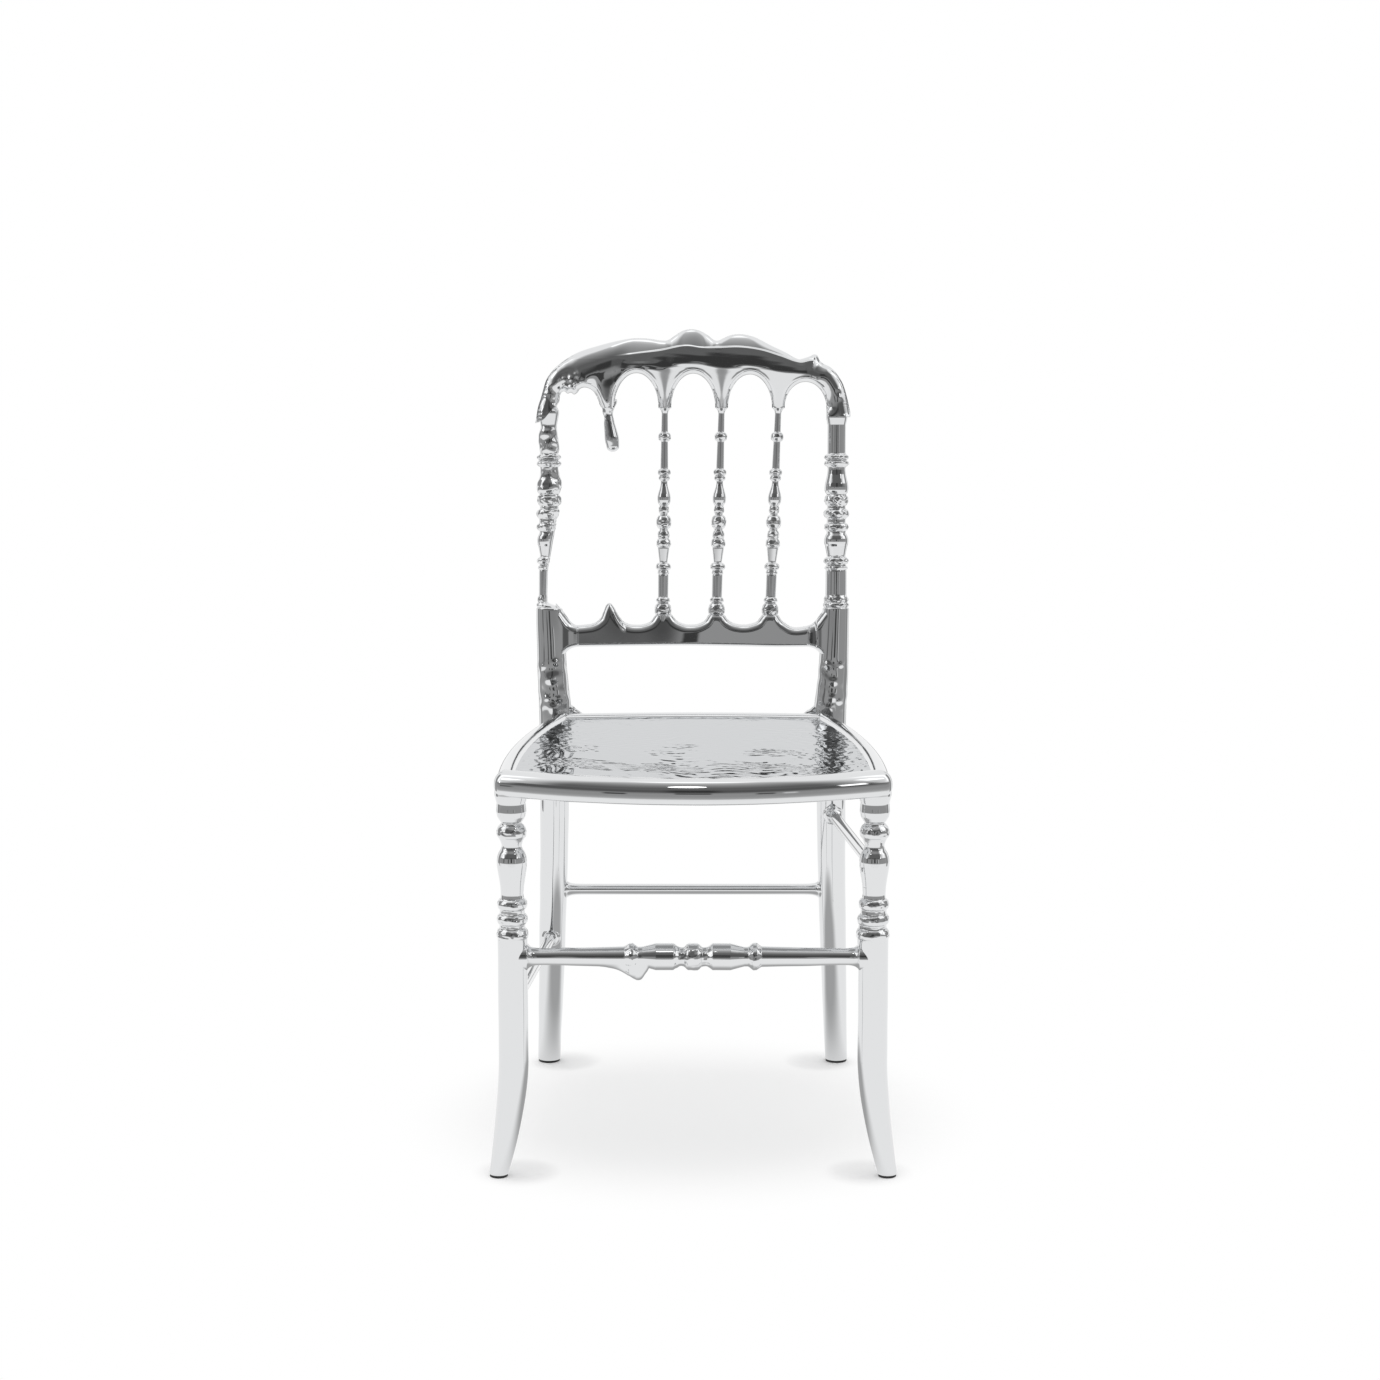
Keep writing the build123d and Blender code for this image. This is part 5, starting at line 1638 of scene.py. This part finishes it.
@dataclass
class Glides:
    """Dark rubber glides under the four feet."""

    front: Numbers = (203.4, -192.8, 9.4)   # x, y and radius
    rear: Numbers = (172.0, 239.0, 12.6)
    height: float = 3.0
    rounding: float = 0.8
    flat_rings: Pair = (0.5, 0.98)   # rings of points on the flat faces, as shares of the rim

    def disc(self, x: float, y: float, radius: float) -> Array:
        """Disc as a tube whose rim is rounded by quarter circles above and below.

        Args:
            x: Middle across.
            y: Middle to the back.
            radius: Radius of the rim.

        Returns:
            A grid of points, ring by ring.
        """
        turn = np.linspace(0, math.pi / 2, 8)
        rim = radius - self.rounding
        low = self.rounding * (1 - np.cos(turn))
        z = np.concatenate([[0, 0], low, self.height - low[::-1], [self.height] * 2])
        edge = rim + self.rounding * np.sin(turn)
        flat = rim * np.array(self.flat_rings)
        ring = np.concatenate([flat, edge, edge[::-1], flat[::-1]])
        grid = tube(np.stack([np.full(4, x), np.full(4, y), np.arange(4.0)], axis=-1), np.ones(4))[0]
        way = grid - [x, y, 0]
        centre = np.stack([np.full_like(z, x), np.full_like(z, y), z], axis=-1)
        return centre[:, None] + ring[:, None, None] * way

    def build(self) -> None:
        """Make the four glides."""
        for end, place in (("front", self.front), ("rear", self.rear)):
            for side in Side:
                grid = self.disc(side.value * place[0], place[1], place[2])
                add_piece(f"foot_glide_{end}_{side.word}", [grid], RUBBER)


@dataclass
class PanelScrews:
    """Six screws under the seat, kept as the solids that they are."""

    node: str = "seat_panel_screws"

    def build(self) -> None:
        """Give the screws their steel."""
        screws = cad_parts[self.node]
        screws.data.materials.clear()
        screws.data.materials.append(SCREW_STEEL.material())
        LOG.info("%s: steel", self.node)


# Studio

WHITE = linear("FFFFFF")


@dataclass(frozen=True)
class Panel:
    """Soft-edged patch of the studio: where it is seen from the chair, in degrees, and how bright it is.

    Azimuth is 0 towards the camera and grows to the right, elevation is 0 at the horizon.
    """

    azimuth: float
    half_width: float
    elevation: float
    half_height: float
    soft: float
    light: float


@dataclass
class Studio:
    """White room with a dark camera side and one small lamp, and the camera of the photograph."""

    camera_place: Numbers = (-3.2, -3017.0, 943.0)
    pitch: float = 8.62
    sensor: float = 36.0
    focal: float = 2800 / 1380     # focal length over the picture's width
    floor_x: float = 1500.0
    floor_front: float = -1290.0
    floor_back: float = 9000.0
    shadow_fade: Pair = (0.15, 0.34)   # metres from the chair's middle where the shading fades
    shadow_middle: float = 0.02
    shadow_share: float = 0.75
    mirror_painted_shade: float = 0.75     # share of that shading painted into the floor's glow under the chair, which only the mirror sees
    feet: Stations = ((180, -176), (-180, -176), (150, 232), (-150, 232))   # middles of the feet's shading
    foot_fade: Pair = (0.02, 0.06)
    dusk: Numbers = (1.1, 3.2, 0.45)   # from and to where the floor dims, and its light there
    # Where the camera side gives way to the room, low and high up: elevation, then azimuths from and to,
    # in degrees
    dark_low: Numbers = (9.0, 88.0, 130.0)
    dark_high: Numbers = (19.0, 40.0, 74.0)
    # Light of the camera side by elevation in degrees
    front_light: Stations = (
        (-90, 1.0), (-13, 0.96), (-11.5, 0.85), (-9, 0.42), (-6, 0.33), (2, 0.33), (12, 0.2), (25, 0.14),
        (37, 0.13), (42, 0.17), (50, 0.24), (60, 0.36), (70, 0.52), (77, 0.75), (82, 0.95), (90, 1.0),
    )
    panels: tuple[Panel, ...] = (
        Panel(0, 55, 19, 4, 6, 0.105),          # dark wall behind the camera, and an opening in it
        Panel(0, 5, 19, 4, 6, 0.045),
        Panel(29, 1.2, 2, 2.5, 2, 0.62),        # strip light on the right
        Panel(-60, 4, 2, 2.5, 2, 0.14),         # flags
        Panel(-23, 2.5, 2, 2.5, 2, 0.07),
        Panel(21, 2, 2, 2.5, 2, 0.10),
        Panel(0, 5, 5, 2.5, 1.5, 0.05),         # camera
        Panel(50, 4, 22, 3, 1.5, 1.8),          # small lamps, which the turnings show as points of light
        Panel(-68, 4, 38, 4, 1.5, 1.8),
        Panel(-72, 4, 17, 3, 1.5, 1.8),
        Panel(66, 4, 42, 4, 1.5, 1.8),
        Panel(-88, 6, 40, 18, 5, 1.4),          # tall soft lights at the sides
        Panel(88, 6, 40, 18, 5, 1.4),
        Panel(0, 70, 84, 4, 3, 1.4),            # light bank overhead
        Panel(112, 9, 0, 40, 6, 0.3),           # flags behind the chair, for its outline
        Panel(-112, 9, 0, 40, 6, 0.3),
        Panel(146, 3, 0, 40, 3, 0.6),
        Panel(-146, 3, 0, 40, 3, 0.6),
    )
    lamp_place: Numbers = (-0.012, -0.42, 0.605)   # metres
    lamp_size: Pair = (0.085, 0.07)
    lamp_power: float = 0.045
    lamp_turn: float = 12.0        # degrees that it is turned to the front

    def camera(self) -> None:
        """Camera fitted to the photograph: a pinhole at its viewing height, tilted down."""
        data = bpy.data.cameras.new("photo_camera")
        data.lens = self.sensor * self.focal
        data.sensor_width = self.sensor
        data.sensor_fit = "HORIZONTAL"
        camera = bpy.data.objects.new("photo_camera", data)
        camera.location = [part * MM for part in self.camera_place]
        camera.rotation_euler = (math.radians(90 - self.pitch), 0, 0)
        bpy.context.scene.collection.objects.link(camera)
        bpy.context.scene.camera = camera

    def floor(self) -> None:
        """White floor: bright of itself to eye and mirror, partly lit to take shadow, with painted shade under
        the chair in the mirror.
        """
        corners = np.array([
            [-self.floor_x, self.floor_front, 0], [self.floor_x, self.floor_front, 0],
            [self.floor_x, self.floor_back, 0], [-self.floor_x, self.floor_back, 0],
        ])
        mesh = bpy.data.meshes.new("studio_floor")
        mesh.from_pydata(corners * MM, [], [(0, 1, 2, 3)])
        floor = bpy.data.objects.new("studio_floor", mesh)
        bpy.context.scene.collection.objects.link(floor)
        material = bpy.data.materials.new("painted_studio_floor")
        material.use_nodes = True
        tree = material.node_tree
        tree.nodes.clear()
        place = add_node(tree, "TexCoord").outputs["Object"]
        near_fade, far_fade = self.shadow_fade
        middle = (0.0, self.shadow_middle, 0.0)
        away = add_node(tree, "VectorMath", {0: place, 1: middle}, operation="DISTANCE")
        share = add_node(tree, "MapRange", {
            "Value": away.outputs["Value"], 1: near_fade, 2: far_fade, 3: self.shadow_share, 4: 0.0,
        }, interpolation_type="SMOOTHSTEP")
        # Painted shade under the chair, which darkens the glow that the mirror sees
        under = add_node(tree, "Math", {0: share, 1: self.mirror_painted_shade}, operation="MULTIPLY")
        near_fade, far_fade = self.foot_fade
        for x, y in self.feet:
            away = add_node(tree, "VectorMath", {0: place, 1: (x * MM, y * MM, 0.0)}, operation="DISTANCE")
            beside = add_node(tree, "MapRange", {
                "Value": away.outputs["Value"], 1: near_fade, 2: far_fade, 3: 1.0, 4: 0.0,
            }, interpolation_type="SMOOTHSTEP")
            share = add_node(tree, "Math", {0: share, 1: beside}, operation="MAXIMUM")
        rays = add_node(tree, "LightPath").outputs
        seen, mirrored = rays["Is Camera Ray"], rays["Is Glossy Ray"]
        eye = add_node(tree, "Math", {0: seen, 1: mirrored}, operation="MAXIMUM")
        eye = add_node(tree, "Math", {0: eye, 1: rays["Is Transmission Ray"]}, operation="MAXIMUM")
        glow = add_node(tree, "Math", {0: 1.0, 1: share}, operation="SUBTRACT")
        glow = add_node(tree, "Math", {0: glow, 1: eye}, operation="MULTIPLY")
        glow = add_node(tree, "Math", {0: glow, 1: mirrored}, operation="MAXIMUM")
        start, end, least = self.dusk
        back = add_node(tree, "SeparateXYZ", {0: place}).outputs["Y"]
        light = add_node(tree, "MapRange", {
            "Value": back, 1: start, 2: end, 3: 1.0, 4: least,
        }, interpolation_type="SMOOTHSTEP")
        # Painted shade: the floor's glow to the mirror is made darker under the chair
        light = add_node(tree, "Math", {0: light, 1: under}, operation="SUBTRACT")
        light = add_node(tree, "Math", {0: light, 1: seen}, operation="MAXIMUM")
        paint = add_node(tree, "BsdfDiffuse", {"Color": WHITE})
        white = add_node(tree, "Emission", {"Color": WHITE, "Strength": light})
        mixed = add_node(tree, "MixShader", {0: glow, 1: paint, 2: white})
        add_node(tree, "OutputMaterial", {"Surface": mixed})
        mesh.materials.append(material)

    def world(self) -> None:
        """Studio round the chair: white to the eye, to the mirror a white room with a dark camera side."""
        world = bpy.data.worlds.new("studio")
        world.use_nodes = True
        bpy.context.scene.world = world
        tree = world.node_tree
        tree.nodes.clear()
        way = add_node(tree, "TexCoord").outputs["Generated"]
        way = add_node(tree, "VectorMath", {0: way}, operation="NORMALIZE")
        parts = add_node(tree, "SeparateXYZ", {0: way}).outputs
        toward = add_node(tree, "Math", {0: parts["Y"], 1: -1.0}, operation="MULTIPLY")
        azimuth = add_node(tree, "Math", {0: parts["X"], 1: toward}, operation="ARCTAN2")
        elevation = add_node(tree, "Math", {0: parts["Z"]}, operation="ARCSINE")
        ramp_at = add_node(tree, "MapRange", {
            "Value": elevation, 1: -math.pi / 2, 2: math.pi / 2, 3: 0.0, 4: 1.0,
        })
        ramp = add_node(tree, "ValToRGB", {0: ramp_at})
        stops = ramp.color_ramp.elements
        for degrees, _ in self.front_light[1:-1]:
            stops.new((degrees + 90) / 180)
        for stop, (_, light) in zip(stops, self.front_light):
            stop.color = (light, light, light, 1.0)
        low, high = np.radians(self.dark_low).tolist(), np.radians(self.dark_high).tolist()
        begin, end = (add_node(tree, "MapRange", {
            "Value": elevation, 1: low[0], 2: high[0], 3: low[number], 4: high[number],
        }) for number in (1, 2))
        turned = add_node(tree, "Math", {0: azimuth}, operation="ABSOLUTE")
        behind = add_node(tree, "MapRange", {
            "Value": turned, 1: begin, 2: end, 3: 0.0, 4: 1.0,
        }, interpolation_type="SMOOTHSTEP")
        light = add_node(tree, "Mix", {0: behind, 6: ramp, 7: WHITE}, data_type="RGBA").outputs[2]
        for panel in self.panels:
            masks = []
            for angle, middle, half in ((azimuth, panel.azimuth, panel.half_width),
                                        (elevation, panel.elevation, panel.half_height)):
                off = add_node(tree, "Math", {0: angle, 1: math.radians(middle)}, operation="SUBTRACT")
                off = add_node(tree, "Math", {0: off}, operation="ABSOLUTE")
                masks.append(add_node(tree, "MapRange", {
                    "Value": off, 1: math.radians(half), 2: math.radians(half + panel.soft), 3: 1.0, 4: 0.0,
                }, interpolation_type="SMOOTHSTEP"))
            mask = add_node(tree, "Math", dict(enumerate(masks)), operation="MULTIPLY")
            grey = (panel.light, panel.light, panel.light, 1.0)
            light = add_node(tree, "Mix", {0: mask, 6: light, 7: grey}, data_type="RGBA").outputs[2]
        glossy = add_node(tree, "LightPath").outputs["Is Glossy Ray"]
        white = add_node(tree, "Background", {"Color": WHITE, "Strength": 1.0})
        room = add_node(tree, "Background", {"Color": light, "Strength": 1.0})
        mixed = add_node(tree, "MixShader", {0: glossy, 1: white, 2: room})
        add_node(tree, "OutputWorld", {"Surface": mixed})

    def lamp(self) -> None:
        """Flat lamp over the front rail, turned a little to the front, which the rail shows as a line."""
        data = bpy.data.lights.new("rail_lamp", "AREA")
        data.shape = "ELLIPSE"
        data.size, data.size_y = self.lamp_size
        data.energy = self.lamp_power
        lamp = bpy.data.objects.new("rail_lamp", data)
        lamp.location = self.lamp_place
        lamp.rotation_euler = (math.radians(-self.lamp_turn), 0, 0)
        lamp.visible_camera = False
        bpy.context.scene.collection.objects.link(lamp)

    def build(self) -> None:
        """Set up the camera, the floor, the room and the lamp."""
        bpy.context.scene.view_settings.view_transform = "Standard"
        self.camera()
        self.floor()
        self.world()
        self.lamp()


def main() -> None:
    """Build the studio and every sub-assembly in order."""
    logging.basicConfig(level=logging.INFO, format="%(name)s: %(message)s")
    Studio().build()
    for part in (FrontLegs(), RearPosts(), CrestRail(), LowerRail(), Spindles(), Seat(), Stretchers(),
                 Glides(), PanelScrews()):
        part.build()


if __name__ == "__main__":
    main()
